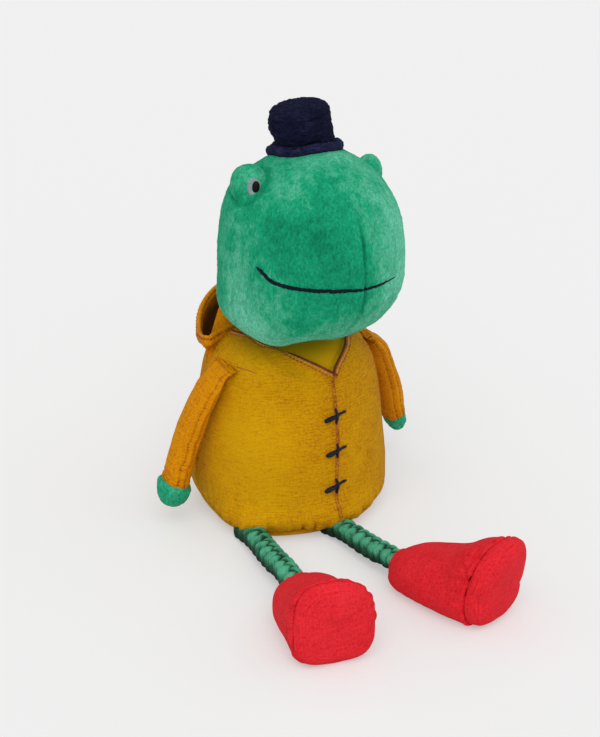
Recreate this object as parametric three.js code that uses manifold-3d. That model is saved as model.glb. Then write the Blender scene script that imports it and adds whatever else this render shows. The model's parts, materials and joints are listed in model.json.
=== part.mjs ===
// Soft frog toy that sits on the floor: stuffed coat body, plush head with a small hat, canvas hood,
// hinged sleeves, rope legs and stuffed boots. Millimetres, +Z up, the toy looks along -Y, and the
// origin is the middle of the flat seat on the floor.
import * as THREE from "three";
import { mergeVertices } from "three/addons/utils/BufferGeometryUtils.js";
import Module from "manifold-3d";

const wasm = await Module();
wasm.setup();

// Clearance between touching pieces, cloth thicknesses, and how much a round bottom is flattened
const GAP = 0.3;
const CANVAS = 1.2;
const PLUSH = 1.5;
const FLOOR_FLAT = 0.5;

// Coat body: half width at each height, and its depth as a share of its width
const BODY_LEVELS = [
  { z: 0, half: 47 },
  { z: 4, half: 52 },
  { z: 11, half: 55.5 },
  { z: 22, half: 57.2 },
  { z: 40, half: 56.6 },
  { z: 62, half: 53.8 },
  { z: 82, half: 50 },
  { z: 95, half: 46.5 },
  { z: 102.5, half: 41 },
  { z: 106.5, half: 33 },
  { z: 108, half: 24 },
];
const BODY_DEPTH_RATIO = 0.94;
const BODY_POWER = 2.15;
const BASE_PANEL_THICK = 1.4;

// Squeaker in a pocket of the body stuffing
const SQUEAKER = { radius: 17, height: 18, z: 52, ribs: 3, groove: 2.5, wall: 1.2 };
const REED = { radius: 4, height: 6 };

// Neck ball and stem: the neck joints turn about the ball's centre
const NECK_CENTRE = new THREE.Vector3(0, -3, 99);
const NECK_BALL_RADIUS = 22;
const NECK_STEM_RADIUS = 17;
const NECK_STEM_DEPTH = 5;

// Head about its centre
const HEAD_CENTRE = new THREE.Vector3(0, -20.5, 164.5);
const HEAD = { halfWidth: 48, forward: 56.5, backward: 45, crownHeight: 53, chinHeight: 51 };
const HEAD_TOP_TAPER = 0.05;
const HEAD_TOP = HEAD_CENTRE.z + HEAD.crownHeight;
const HEAD_POWER_ROUND = 2.35;
const HEAD_POWER_UP = 2.5;
const HEAD_POWER_DOWN = 2.9;

// Eye pads on the head's top corners, and the eye on the outer face of each
const EYE_PAD = { fromSide: 9.7, aheadOfMiddle: 0.6, radius: 11, halfThick: 8 };
const EYE_PAD_FROM_TOP = { right: 11.5, left: 19 };
const EYE_PAD_TURN_DEG = 45;
const EYE_TURN_DEG = { right: 10, left: 60 };
const EYE_WHITE = { halfWidth: 4, halfHeight: 5.5, rise: 1.4, up: 0.6, reach: 8.6 };
const EYE_PUPIL = { halfWidth: 2.2, halfHeight: 3.2, rise: 0.9 };

// Mouth thread on the face, with its corners turned up
const MOUTH = { rightDeg: 70, leftDeg: 24, z: -7, cornerRise: 10, radius: 0.9, steps: 18, sides: 6 };

// Hat on the head's top
const HAT_PLACE = { back: 1.5, sunk: 1 };
const HAT_LEAN_DEG = -7;
const HAT = { crownRadius: 16.4, height: 26.5, cloth: 1.6, topThick: 3.5, topEdge: 1.2 };
const HAT_BULGE = { foot: 0.5, low: 0.9, middle: 1.5, top: 0.6 };
const HAT_BRIM = { radius: 2.5, lift: 1.75 };

// Hood: a cloth bowl behind the neck, open upwards, with a rolled rim on a sloping edge
const HOOD = { y: 6, z: 110, halfWidth: 50, halfDepth: 49, halfHeight: 34, wall: 2.4 };
const HOOD_EDGE = { frontY: 2, frontZ: 112, slope: 0.3 };
const HOOD_RIM = { radius: 1.8, halfSteps: 11, sides: 6 };

// Sleeves: pivot on the shoulder seam, with the outward and backward lean of each as it hangs
const SHOULDER = {
  right: new THREE.Vector3(-50.5, -10, 99),
  left: new THREE.Vector3(50.3, -10, 99),
};
const SLEEVE_LEAN_DEG = { right: 20, left: 22 };
const SLEEVE_BACK_DEG = { right: 8, left: 12 };
const SLEEVE = { length: 74, halfThick: 5.2, halfWideTop: 9.5, halfWideCuff: 7.8, cuffHalfThick: 6.2 };
const SLEEVE_TOP = [
  { liftDeg: 80, halfWide: 5.8 },
  { liftDeg: 50, halfWide: 7.6 },
  { liftDeg: 20, halfWide: 9 },
];
const HAND = { halfWide: 8.6, halfThick: 6.6, length: 14 };

// Legs: rope from the hip on the coat's lower front to the ankle in the boot
const ROPE_RADIUS = 6.8;
const ROPE_LENGTH = { right: 77, left: 64 };
const HIP = {
  right: new THREE.Vector3(-48.8, -35.6, 7.3),
  left: new THREE.Vector3(-3.4, -56.6, 7.3),
};
const ROPE_TURN_DEG = { right: -10.5, left: 1 };
const ROPE_RISE_DEG = 4.5;

// Boots: distance forward of the ankle, half width, half height and lift off the floor at each ring
const BOOT_LEVELS = [
  { t: 3, wide: 10.5, high: 9.5, lift: 3.4 },
  { t: 9, wide: 17, high: 14, lift: 1.2 },
  { t: 20, wide: 20.5, high: 17.5, lift: 0.4 },
  { t: 38, wide: 22, high: 21.5, lift: 0 },
  { t: 54, wide: 22, high: 25.2, lift: 0 },
  { t: 60, wide: 20.6, high: 24.6, lift: 0.4 },
];
const BOOT_LENGTH = BOOT_LEVELS.at(-1).t;
const BOOT_POWER = 2.2;
const BOOT_SOLE_DOME = [
  { rise: 0, share: 1 },
  { rise: 1.8, share: 0.95 },
  { rise: 3.4, share: 0.75 },
  { rise: 4, share: 0.4 },
];
const BOOT_TURN_DEG = { right: -14, left: 17 };
const BOOT_LEAN = { right: -0.04, left: 0.18 };

// Stitching on the coat front: heights along the front, and how wide round the coat the neckline runs
const PLACKET = { topZ: 92, bottomZ: 19, width: 3.4, thick: 0.8, steps: 14 };
const NECKLINE = { z: 94, rise: 13, halfAngleDeg: 48, radius: 1.7, sunk: 0.7, steps: 12 };
const TOGGLE = { length: 12, radius: 1.7, barLength: 9, barRadius: 1, tiltDeg: 24 };
const TOGGLE_Z = [71, 51, 30];

// Round counts
const AROUND_BODY = 24;
const AROUND_HEAD = 24;
const AROUND_LIMB = 14;
const AROUND_BOOT = 18;
const AROUND_BALL = 16;
const AROUND_SMALL = 10;
const AROUND_HAT = 20;
const AROUND_BRIM_ROLL = 8;
const BODY_RINGS = 12;
const HEAD_RINGS = 12;
const FAR = 400;

const COAT = { color: 0xc8960a, roughness: 0.9, metalness: 0 };
const SLEEVE_CLOTH = { color: 0xcd820a, roughness: 0.9, metalness: 0 };
const GREEN = { color: 0x26a073, roughness: 0.95, metalness: 0 };
const ROPE_GREEN = { color: 0x1e9664, roughness: 0.6, metalness: 0 };
const NAVY = { color: 0x19163c, roughness: 0.95, metalness: 0 };
const RED = { color: 0xd42332, roughness: 0.9, metalness: 0 };
const RUST = { color: 0xa8500f, roughness: 0.8, metalness: 0 };
const FILL = { color: 0xf2f0ea, roughness: 1, metalness: 0 };
const EYE_GREY = { color: 0xc9cdd2, roughness: 0.7, metalness: 0 };
const BLACK = { color: 0x101014, roughness: 0.6, metalness: 0 };
const CLEAR_PLASTIC = { color: 0xdde4e8, roughness: 0.4, metalness: 0 };

const toRadians = THREE.MathUtils.degToRad;
const toy = new THREE.Group();

// The signed power that rounds a superellipse
function roundPower(value, power) {
  return Math.sign(value) * Math.abs(value) ** (2 / power);
}

// A closed skin through rings of equal count, capped flat at both ends
function loft(rings) {
  const count = rings[0].length;
  const positions = [];
  for (const ring of rings) {
    for (const p of ring) {
      positions.push(p.x, p.y, p.z);
    }
  }
  const indices = [];
  for (let row = 0; row + 1 < rings.length; row += 1) {
    for (let i = 0; i < count; i += 1) {
      const a = row * count + i;
      const b = row * count + ((i + 1) % count);
      indices.push(a, b, a + count, b, b + count, a + count);
    }
  }
  const cap = (row, flip) => {
    const middle = rings[row].reduce((sum, p) => sum.add(p), new THREE.Vector3()).divideScalar(count);
    const centre = positions.length / 3;
    positions.push(middle.x, middle.y, middle.z);
    for (let i = 0; i < count; i += 1) {
      const a = row * count + i;
      const b = row * count + ((i + 1) % count);
      indices.push(...(flip ? [centre, b, a] : [centre, a, b]));
    }
  };
  cap(0, true);
  cap(rings.length - 1, false);
  const geometry = new THREE.BufferGeometry();
  geometry.setAttribute("position", new THREE.Float32BufferAttribute(positions, 3));
  geometry.setIndex(indices);
  return geometry;
}

// Six times the signed volume of an indexed geometry
function signedVolume(geometry) {
  const position = geometry.getAttribute("position");
  const index = geometry.getIndex();
  const a = new THREE.Vector3();
  const b = new THREE.Vector3();
  const c = new THREE.Vector3();
  let sum = 0;
  for (let i = 0; i < index.count; i += 3) {
    a.fromBufferAttribute(position, index.getX(i));
    b.fromBufferAttribute(position, index.getX(i + 1));
    c.fromBufferAttribute(position, index.getX(i + 2));
    sum += a.dot(b.cross(c));
  }
  return sum;
}

// A geometry as a manifold solid, with its faces turned outwards
function solid(geometry) {
  const bare = geometry.clone();
  bare.deleteAttribute("normal");
  bare.deleteAttribute("uv");
  const merged = mergeVertices(bare, 1e-4);
  const triangles = Uint32Array.from(merged.getIndex().array);
  if (signedVolume(merged) < 0) {
    triangles.reverse();
  }
  const vertices = Float32Array.from(merged.getAttribute("position").array);
  return new wasm.Manifold(new wasm.Mesh({ numProp: 3, vertProperties: vertices, triVerts: triangles }));
}

function geometryOf(body) {
  const mesh = body.getMesh();
  const geometry = new THREE.BufferGeometry();
  geometry.setAttribute("position", new THREE.Float32BufferAttribute(mesh.vertProperties, 3));
  geometry.setIndex(Array.from(mesh.triVerts));
  return geometry;
}

function addPart(name, body, look) {
  const mesh = new THREE.Mesh(geometryOf(body), new THREE.MeshStandardMaterial(look));
  mesh.geometry.computeVertexNormals();
  mesh.name = name;
  toy.add(mesh);
}

function placed(geometry, ...matrices) {
  const copy = geometry.clone();
  for (const matrix of matrices) {
    copy.applyMatrix4(matrix);
  }
  return copy;
}

const moveBy = (x, y, z) => new THREE.Matrix4().makeTranslation(x, y, z);
const turnX = (degrees) => new THREE.Matrix4().makeRotationX(toRadians(degrees));
const turnY = (degrees) => new THREE.Matrix4().makeRotationY(toRadians(degrees));
const turnZ = (degrees) => new THREE.Matrix4().makeRotationZ(toRadians(degrees));

function box(low, high) {
  const size = new THREE.Vector3().subVectors(high, low);
  const middle = new THREE.Vector3().addVectors(low, high).multiplyScalar(0.5);
  return solid(placed(new THREE.BoxGeometry(size.x, size.y, size.z), moveBy(middle.x, middle.y, middle.z)));
}

function above(z) {
  return box(new THREE.Vector3(-FAR, -FAR, z), new THREE.Vector3(FAR, FAR, z + FAR));
}

function ball(centre, radius, around = AROUND_BODY) {
  const round = new THREE.SphereGeometry(radius, around, around / 2);
  return solid(placed(round, moveBy(centre.x, centre.y, centre.z)));
}

// An upright cylinder between two heights
function post(x, y, lowZ, highZ, radius, around = AROUND_BODY) {
  const upright = placed(new THREE.CylinderGeometry(radius, radius, highZ - lowZ, around), turnX(90));
  return solid(placed(upright, moveBy(x, y, (lowZ + highZ) / 2)));
}

// A bar of constant outline along a path of points
function alongPath(points, outline) {
  const path = new THREE.CatmullRomCurve3(points);
  const shape = new THREE.Shape(outline);
  return solid(new THREE.ExtrudeGeometry(shape, { steps: points.length - 1, extrudePath: path }));
}

function circleOutline(radius, sides) {
  const points = [];
  for (let i = 0; i < sides; i += 1) {
    const angle = (i / sides) * 2 * Math.PI;
    points.push(new THREE.Vector2(radius * Math.cos(angle), radius * Math.sin(angle)));
  }
  return points;
}

// Coat body

const bodyPoints = BODY_LEVELS.map((level) => new THREE.Vector2(level.half, level.z));
const bodyProfile = new THREE.SplineCurve(bodyPoints);
const bodyRows = bodyProfile.getPoints(BODY_RINGS);
const BODY_TOP = BODY_LEVELS.at(-1).z;

function bodyHalf(z) {
  const next = bodyRows.findIndex((row) => row.y >= z);
  const high = bodyRows[Math.max(1, next)];
  const low = bodyRows[Math.max(1, next) - 1];
  return THREE.MathUtils.mapLinear(z, low.y, high.y, low.x, high.x);
}

// A point of the coat at an angle round from the front, positive towards +X
function coatPoint(angle, z, out) {
  const half = bodyHalf(z);
  return new THREE.Vector3(
    (half + out) * roundPower(Math.sin(angle), BODY_POWER),
    -(half * BODY_DEPTH_RATIO + out) * roundPower(Math.cos(angle), BODY_POWER),
    z,
  );
}

function bodySolid(inset, bottom, top) {
  const rings = bodyRows.map((row) => {
    const ring = [];
    for (let i = 0; i < AROUND_BODY; i += 1) {
      const angle = (i / AROUND_BODY) * 2 * Math.PI;
      ring.push(new THREE.Vector3(
        (row.x - inset) * roundPower(Math.sin(angle), BODY_POWER),
        -(row.x * BODY_DEPTH_RATIO - inset) * roundPower(Math.cos(angle), BODY_POWER),
        THREE.MathUtils.mapLinear(row.y, 0, BODY_TOP, bottom, top),
      ));
    }
    return ring;
  });
  return solid(loft(rings));
}

const bodyOuter = bodySolid(0, 0, BODY_TOP);
const bodyGrown = bodySolid(-GAP, -GAP, BODY_TOP + GAP);
const neckHoleLow = BODY_TOP - 2 * NECK_STEM_DEPTH;
const neckHole = post(NECK_CENTRE.x, NECK_CENTRE.y, neckHoleLow, FAR, NECK_STEM_RADIUS + GAP);
const hipCups = ["right", "left"]
  .map((side) => ball(HIP[side], ROPE_RADIUS + GAP, AROUND_BALL))
  .reduce((all, one) => all.add(one));

function makeBody() {
  const room = bodySolid(CANVAS, -CANVAS, BODY_TOP - CANVAS);
  addPart("body_cover", bodyOuter.subtract(room).subtract(neckHole).subtract(hipCups), COAT);
  const panel = bodySolid(CANVAS + GAP, -CANVAS, BODY_TOP)
    .intersect(box(new THREE.Vector3(-FAR, -FAR, 0), new THREE.Vector3(FAR, FAR, BASE_PANEL_THICK)));
  addPart("base_panel", panel.subtract(hipCups), COAT);

  const fillTop = BODY_TOP - CANVAS - GAP;
  const stemLow = BODY_TOP - NECK_STEM_DEPTH - GAP;
  const neckRoom = post(NECK_CENTRE.x, NECK_CENTRE.y, stemLow, FAR, NECK_STEM_RADIUS + GAP);
  const { radius, height, z } = SQUEAKER;
  const pocketLow = z - height / 2 - GAP;
  const pocketHigh = z + height / 2 + REED.height / 2 + GAP;
  const pocket = post(0, 0, pocketLow, pocketHigh, radius + GAP);
  const slot = box(
    new THREE.Vector3(-radius - GAP, 0, pocketLow),
    new THREE.Vector3(radius + GAP, FAR, pocketHigh),
  );
  const fill = bodySolid(CANVAS + GAP, -CANVAS, fillTop)
    .intersect(above(BASE_PANEL_THICK + GAP))
    .subtract(neckRoom)
    .subtract(hipCups)
    .subtract(pocket.add(slot));
  addPart("body_stuffing", fill, FILL);
}

function makeSqueaker() {
  const { radius, height, z, ribs, groove, wall } = SQUEAKER;
  const outline = [new THREE.Vector2(0, 0), new THREE.Vector2(radius - groove, 0)];
  for (let i = 0; i < ribs; i += 1) {
    outline.push(new THREE.Vector2(radius, ((i + 0.5) / ribs) * height));
    outline.push(new THREE.Vector2(radius - groove, ((i + 1) / ribs) * height));
  }
  outline.push(new THREE.Vector2(0, height));
  const low = z - height / 2;
  const skin = new THREE.LatheGeometry(outline, AROUND_BODY);
  const bellows = solid(placed(skin, turnX(90), moveBy(0, 0, low)));
  const air = post(0, 0, low + wall, low + height - wall, radius - groove - wall, AROUND_LIMB);
  const reedLow = low + height - REED.height / 2;
  const hole = post(0, 0, reedLow - wall, low + height + wall, REED.radius + GAP, AROUND_LIMB);
  addPart("squeaker_bellows", bellows.subtract(air).subtract(hole), CLEAR_PLASTIC);
  const reed = post(0, 0, reedLow, reedLow + REED.height, REED.radius, AROUND_LIMB);
  const bore = post(0, 0, reedLow - wall, reedLow + REED.height + wall, REED.radius / 2, AROUND_SMALL);
  addPart("squeaker_reed", reed.subtract(bore), CLEAR_PLASTIC);
}

// Head

function headPoint(angle, up, out) {
  const power = up > 0 ? HEAD_POWER_UP : HEAD_POWER_DOWN;
  const flat = (1 - Math.min(1, Math.abs(up)) ** power) ** (1 / power);
  const taper = 1 - HEAD_TOP_TAPER * up;
  const reach = Math.cos(angle) > 0 ? HEAD.forward : HEAD.backward;
  return new THREE.Vector3(
    HEAD_CENTRE.x + (HEAD.halfWidth + out) * flat * taper * roundPower(Math.sin(angle), HEAD_POWER_ROUND),
    HEAD_CENTRE.y - (reach + out) * flat * taper * roundPower(Math.cos(angle), HEAD_POWER_ROUND),
    HEAD_CENTRE.z + ((up > 0 ? HEAD.crownHeight : HEAD.chinHeight) + out) * up,
  );
}

function headSolid(out) {
  const rings = [];
  for (let row = 0; row <= HEAD_RINGS; row += 1) {
    const tilt = -Math.PI / 2 + (Math.PI * (row + 0.35)) / (HEAD_RINGS + 0.7);
    const up = roundPower(Math.sin(tilt), HEAD_POWER_UP);
    const ring = [];
    for (let i = 0; i < AROUND_HEAD; i += 1) {
      ring.push(headPoint((i / AROUND_HEAD) * 2 * Math.PI, up, out));
    }
    rings.push(ring);
  }
  return solid(loft(rings));
}

const headGrown = headSolid(GAP);
const neckRoomInHead = ball(NECK_CENTRE, NECK_BALL_RADIUS + GAP);

function makeNeckAndHead() {
  const top = ball(NECK_CENTRE, NECK_BALL_RADIUS).intersect(above(BODY_TOP + GAP));
  const stemLow = BODY_TOP - NECK_STEM_DEPTH;
  const stem = post(NECK_CENTRE.x, NECK_CENTRE.y, stemLow, BODY_TOP + 2 * GAP, NECK_STEM_RADIUS);
  addPart("neck", top.add(stem), GREEN);
  const cover = headSolid(0).subtract(headSolid(-PLUSH)).subtract(neckRoomInHead);
  addPart("head_cover", cover, GREEN);
  addPart("head_stuffing", headSolid(-PLUSH - GAP).subtract(neckRoomInHead), FILL);
}

// An egg shape with its three half sizes, turned so that its Y half size lies along a facing direction
function egg(halfSizes, turnDeg, centre, around) {
  const round = new THREE.SphereGeometry(1, around, around / 2);
  const grown = new THREE.Matrix4().makeScale(halfSizes.x, halfSizes.y, halfSizes.z);
  return solid(placed(round, turnX(90), grown, turnZ(turnDeg), moveBy(centre.x, centre.y, centre.z)));
}

function makeEye(side, sign) {
  const turn = sign * EYE_TURN_DEG[side];
  const facing = new THREE.Vector3(0, -1, 0).applyMatrix4(turnZ(turn));
  const padCentre = new THREE.Vector3(
    sign * (HEAD.halfWidth - EYE_PAD.fromSide),
    HEAD_CENTRE.y - EYE_PAD.aheadOfMiddle,
    HEAD_TOP - EYE_PAD_FROM_TOP[side],
  );
  const pad = (out) => egg(
    new THREE.Vector3(EYE_PAD.radius + out, EYE_PAD.halfThick + out, EYE_PAD.radius + out),
    sign * EYE_PAD_TURN_DEG,
    padCentre,
    AROUND_LIMB,
  );
  addPart(`${side}_eye_bump`, pad(0).subtract(headGrown), GREEN);
  const face = padCentre.clone().addScaledVector(facing, EYE_WHITE.reach);
  face.z += EYE_WHITE.up;
  const white = (out) => egg(
    new THREE.Vector3(EYE_WHITE.halfWidth + out, EYE_WHITE.rise + out, EYE_WHITE.halfHeight + out),
    turn,
    face,
    AROUND_LIMB,
  );
  addPart(`${side}_eye_white`, white(0).subtract(pad(GAP)).subtract(headGrown), EYE_GREY);
  const front = face.clone().addScaledVector(facing, EYE_WHITE.rise);
  const pupil = egg(
    new THREE.Vector3(EYE_PUPIL.halfWidth, EYE_PUPIL.rise, EYE_PUPIL.halfHeight),
    turn,
    front,
    AROUND_SMALL,
  );
  addPart(`${side}_eye_pupil`, pupil.subtract(white(GAP)).subtract(pad(GAP)).subtract(headGrown), BLACK);
}

function makeMouth() {
  const points = [];
  for (let i = 0; i <= MOUTH.steps; i += 1) {
    const degrees = -MOUTH.rightDeg + ((MOUTH.rightDeg + MOUTH.leftDeg) * i) / MOUTH.steps;
    const rise = MOUTH.cornerRise * Math.abs(degrees / MOUTH.rightDeg) ** 3;
    const up = (MOUTH.z + rise) / HEAD.chinHeight;
    points.push(headPoint(toRadians(degrees), up, MOUTH.radius + 2 * GAP));
  }
  const thread = alongPath(points, circleOutline(MOUTH.radius, MOUTH.sides));
  addPart("mouth_thread", thread.subtract(headGrown), NAVY);
}

// Hat, made upright about its own foot and then leaned onto the head

function makeHat() {
  const { crownRadius, height, cloth, topThick, topEdge } = HAT;
  const foot = moveBy(HEAD_CENTRE.x, HEAD_CENTRE.y + HAT_PLACE.back, HEAD_TOP - HAT_PLACE.sunk);
  const lean = [turnY(HAT_LEAN_DEG), foot];
  const wallHeight = height - topThick;
  const side = (inset) => [
    new THREE.Vector2(crownRadius - inset, 0),
    new THREE.Vector2(crownRadius + HAT_BULGE.low - inset, wallHeight / 4),
    new THREE.Vector2(crownRadius + HAT_BULGE.middle - inset, wallHeight / 2),
    new THREE.Vector2(crownRadius + HAT_BULGE.top - inset, wallHeight),
  ];
  const turned = (outline, around) => {
    const skin = new THREE.LatheGeometry(outline, around);
    return solid(placed(skin, turnX(90), ...lean));
  };
  const wall = [...side(0), ...side(cloth).reverse()];
  addPart("hat_crown", turned([...wall, wall[0].clone()], AROUND_HAT).subtract(headGrown), NAVY);
  const topFoot = wallHeight + GAP;
  const topRadius = crownRadius + HAT_BULGE.top;
  const dome = [
    new THREE.Vector2(0, topFoot),
    new THREE.Vector2(topRadius, topFoot),
    new THREE.Vector2(topRadius - topEdge / 2, topFoot + topEdge),
    new THREE.Vector2(topRadius / 2, topFoot + topThick),
    new THREE.Vector2(0, topFoot + topThick),
  ];
  addPart("hat_top", turned(dome, AROUND_HAT), NAVY);
  const fill = side(cloth + GAP);
  const inside = [new THREE.Vector2(0, 0), ...fill, new THREE.Vector2(0, wallHeight)];
  addPart("hat_stuffing", turned(inside, AROUND_HAT).subtract(headGrown), FILL);
  const brimMiddle = crownRadius + HAT_BULGE.foot + GAP + HAT_BRIM.radius;
  const ring = circleOutline(HAT_BRIM.radius, AROUND_BRIM_ROLL)
    .map((p) => new THREE.Vector2(p.x + brimMiddle, p.y + HAT_BRIM.lift));
  addPart("hat_brim", turned([...ring, ring[0].clone()], AROUND_HAT).subtract(headGrown), NAVY);
}

// Hood

function hoodEgg(out) {
  const centre = new THREE.Vector3(0, HOOD.y, HOOD.z);
  const half = new THREE.Vector3(HOOD.halfWidth + out, HOOD.halfDepth + out, HOOD.halfHeight + out);
  return egg(half, 0, centre, AROUND_BODY);
}

function hoodEdgeZ(y) {
  return HOOD_EDGE.frontZ + (y - HOOD_EDGE.frontY) * HOOD_EDGE.slope;
}

// A point of the hood wall's middle on its sloping edge
function hoodEdgePoint(angle, rise) {
  const half = -HOOD.wall / 2;
  let z = HOOD.z;
  let y = HOOD.y;
  for (let i = 0; i < 20; i += 1) {
    const flat = Math.sqrt(1 - ((z - HOOD.z) / (HOOD.halfHeight + half)) ** 2);
    y = HOOD.y + (HOOD.halfDepth + half) * flat * Math.cos(angle);
    z = hoodEdgeZ(y) + rise;
  }
  const flat = Math.sqrt(1 - ((z - HOOD.z) / (HOOD.halfHeight + half)) ** 2);
  return new THREE.Vector3((HOOD.halfWidth + half) * flat * Math.sin(angle), y, z);
}

function makeHood() {
  const slopeDeg = THREE.MathUtils.radToDeg(Math.atan(HOOD_EDGE.slope));
  const upperHalf = solid(placed(
    new THREE.BoxGeometry(FAR, FAR, FAR),
    moveBy(0, 0, FAR / 2),
    turnX(slopeDeg),
    moveBy(0, HOOD_EDGE.frontY, HOOD_EDGE.frontZ),
  ));
  const front = box(new THREE.Vector3(-FAR, -FAR, -FAR), new THREE.Vector3(FAR, HOOD_EDGE.frontY, FAR));
  const bowl = hoodEgg(0).subtract(hoodEgg(-HOOD.wall)).intersect(above(HOOD.z - HOOD.halfHeight / 2));
  addPart("hood", bowl.subtract(upperHalf).subtract(front).subtract(bodyGrown), COAT);
  const limit = Math.acos((HOOD_EDGE.frontY + HOOD_RIM.radius - HOOD.y) / HOOD.halfDepth);
  const points = [];
  for (let i = -HOOD_RIM.halfSteps; i <= HOOD_RIM.halfSteps; i += 1) {
    points.push(hoodEdgePoint((limit * i) / HOOD_RIM.halfSteps, HOOD_RIM.radius + GAP));
  }
  addPart("hood_rim", alongPath(points, circleOutline(HOOD_RIM.radius, HOOD_RIM.sides)), COAT);
}

// Sleeves and hands, made hanging along -Z from the shoulder pivot

function makeArm(side, sign) {
  const { length, halfThick, halfWideTop, halfWideCuff, cuffHalfThick } = SLEEVE;
  const hang = [
    turnX(SLEEVE_BACK_DEG[side]),
    turnY(-sign * SLEEVE_LEAN_DEG[side]),
    moveBy(SHOULDER[side].x, SHOULDER[side].y, SHOULDER[side].z),
  ];
  const flatRing = (z, thick, wide) => {
    const ring = [];
    for (let i = 0; i < AROUND_LIMB; i += 1) {
      const angle = (i / AROUND_LIMB) * 2 * Math.PI;
      ring.push(new THREE.Vector3(thick * Math.cos(angle), wide * roundPower(Math.sin(angle), 2.6), z));
    }
    return ring;
  };
  const rings = [];
  for (const { liftDeg, halfWide } of SLEEVE_TOP) {
    const angle = toRadians(liftDeg);
    rings.push(flatRing(halfThick * Math.sin(angle), halfThick * Math.cos(angle), halfWide));
  }
  for (let i = 0; i <= 5; i += 1) {
    const share = i / 5;
    const thick = THREE.MathUtils.lerp(halfThick, cuffHalfThick, share);
    rings.push(flatRing(-length * share, thick, THREE.MathUtils.lerp(halfWideTop, halfWideCuff, share)));
  }
  addPart(`${side}_sleeve`, solid(placed(loft(rings), ...hang)), SLEEVE_CLOTH);
  const handRings = [];
  for (const angle of [0, 20, 40, 58, 74].map(toRadians)) {
    const shrink = Math.cos(angle);
    const z = -length - GAP - HAND.length * Math.sin(angle);
    handRings.push(flatRing(z, HAND.halfThick * shrink, HAND.halfWide * shrink));
  }
  addPart(`${side}_hand`, solid(placed(loft(handRings), ...hang)), GREEN);
}

// Legs and boots, made pointing along -Y from the hip and the ankle

function ropeDirection(side) {
  const turn = toRadians(ROPE_TURN_DEG[side]);
  const rise = toRadians(ROPE_RISE_DEG);
  return new THREE.Vector3(
    Math.sin(turn) * Math.cos(rise),
    -Math.cos(turn) * Math.cos(rise),
    Math.sin(rise),
  );
}

function anklePoint(side) {
  return HIP[side].clone().addScaledVector(ropeDirection(side), ROPE_LENGTH[side]);
}

function makeRope(side) {
  const length = ROPE_LENGTH[side];
  const capsule = new THREE.CapsuleGeometry(ROPE_RADIUS, length, 4, AROUND_LIMB);
  const aim = new THREE.Matrix4().makeRotationFromQuaternion(
    new THREE.Quaternion().setFromUnitVectors(new THREE.Vector3(0, 1, 0), ropeDirection(side)),
  );
  const atHip = moveBy(HIP[side].x, HIP[side].y, HIP[side].z);
  addPart(`${side}_rope_leg`, solid(placed(capsule, moveBy(0, length / 2, 0), aim, atHip)), ROPE_GREEN);
}

function bootSolid(side, inset, levels) {
  const lean = BOOT_LEAN[side] / BOOT_LENGTH;
  const rings = levels.map((level) => {
    const ring = [];
    for (let i = 0; i < AROUND_BOOT; i += 1) {
      const angle = (i / AROUND_BOOT) * 2 * Math.PI;
      const up = (level.high - inset) * roundPower(Math.sin(angle), BOOT_POWER);
      ring.push(new THREE.Vector3(
        (level.wide - inset) * roundPower(Math.cos(angle), BOOT_POWER),
        -(level.t + lean * up * level.t),
        level.high + level.lift - FLOOR_FLAT + up,
      ));
    }
    return ring;
  });
  const ankle = anklePoint(side);
  const toFoot = [turnZ(BOOT_TURN_DEG[side]), moveBy(ankle.x, ankle.y, 0)];
  return solid(placed(loft(rings), ...toFoot)).intersect(above(0));
}

function makeBoot(side) {
  const last = BOOT_LEVELS.at(-1);
  const [first, ...others] = BOOT_LEVELS;
  const startingAt = (more) => [{ ...first, t: first.t + more }, ...others];
  const cup = ball(anklePoint(side), ROPE_RADIUS + GAP, AROUND_BALL);
  const room = bootSolid(side, CANVAS, [...startingAt(CANVAS), { ...last, t: last.t + CANVAS }]);
  addPart(`${side}_boot_upper`, bootSolid(side, 0, BOOT_LEVELS).subtract(room).subtract(cup), RED);
  const stuffing = bootSolid(side, CANVAS + GAP, startingAt(CANVAS + GAP));
  addPart(`${side}_boot_stuffing`, stuffing.intersect(above(CANVAS + GAP)).subtract(cup), FILL);
  const dome = BOOT_SOLE_DOME.map(({ rise, share }) => ({
    t: last.t + GAP + rise,
    wide: last.wide * share,
    high: last.high * share,
    lift: last.lift + last.high * (1 - share),
  }));
  addPart(`${side}_boot_sole`, bootSolid(side, 0, dome), RED);
}

// Stitching and toggles on the coat front

function ribbon(points, width, thick) {
  const outline = [
    new THREE.Vector2(-thick / 2, -width / 2),
    new THREE.Vector2(thick / 2, -width / 2),
    new THREE.Vector2(thick / 2, width / 2),
    new THREE.Vector2(-thick / 2, width / 2),
  ];
  return alongPath(points, outline);
}

function makeStitching() {
  const placket = [];
  for (let i = 0; i <= PLACKET.steps; i += 1) {
    const z = THREE.MathUtils.lerp(PLACKET.topZ, PLACKET.bottomZ, i / PLACKET.steps);
    placket.push(coatPoint(0, z, 3 * GAP + PLACKET.thick / 2));
  }
  addPart("placket_stitching", ribbon(placket, PLACKET.thick, PLACKET.width).subtract(bodyGrown), RUST);
  const neckline = [];
  for (let i = 0; i <= NECKLINE.steps; i += 1) {
    const share = (2 * i) / NECKLINE.steps - 1;
    const z = NECKLINE.z + NECKLINE.rise * Math.abs(share);
    const out = GAP + NECKLINE.radius - NECKLINE.sunk;
    neckline.push(coatPoint(toRadians(NECKLINE.halfAngleDeg) * share, z, out));
  }
  const edge = alongPath(neckline, circleOutline(NECKLINE.radius, AROUND_BRIM_ROLL));
  addPart("neckline_stitching", edge.subtract(bodyGrown), RUST);
}

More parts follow.
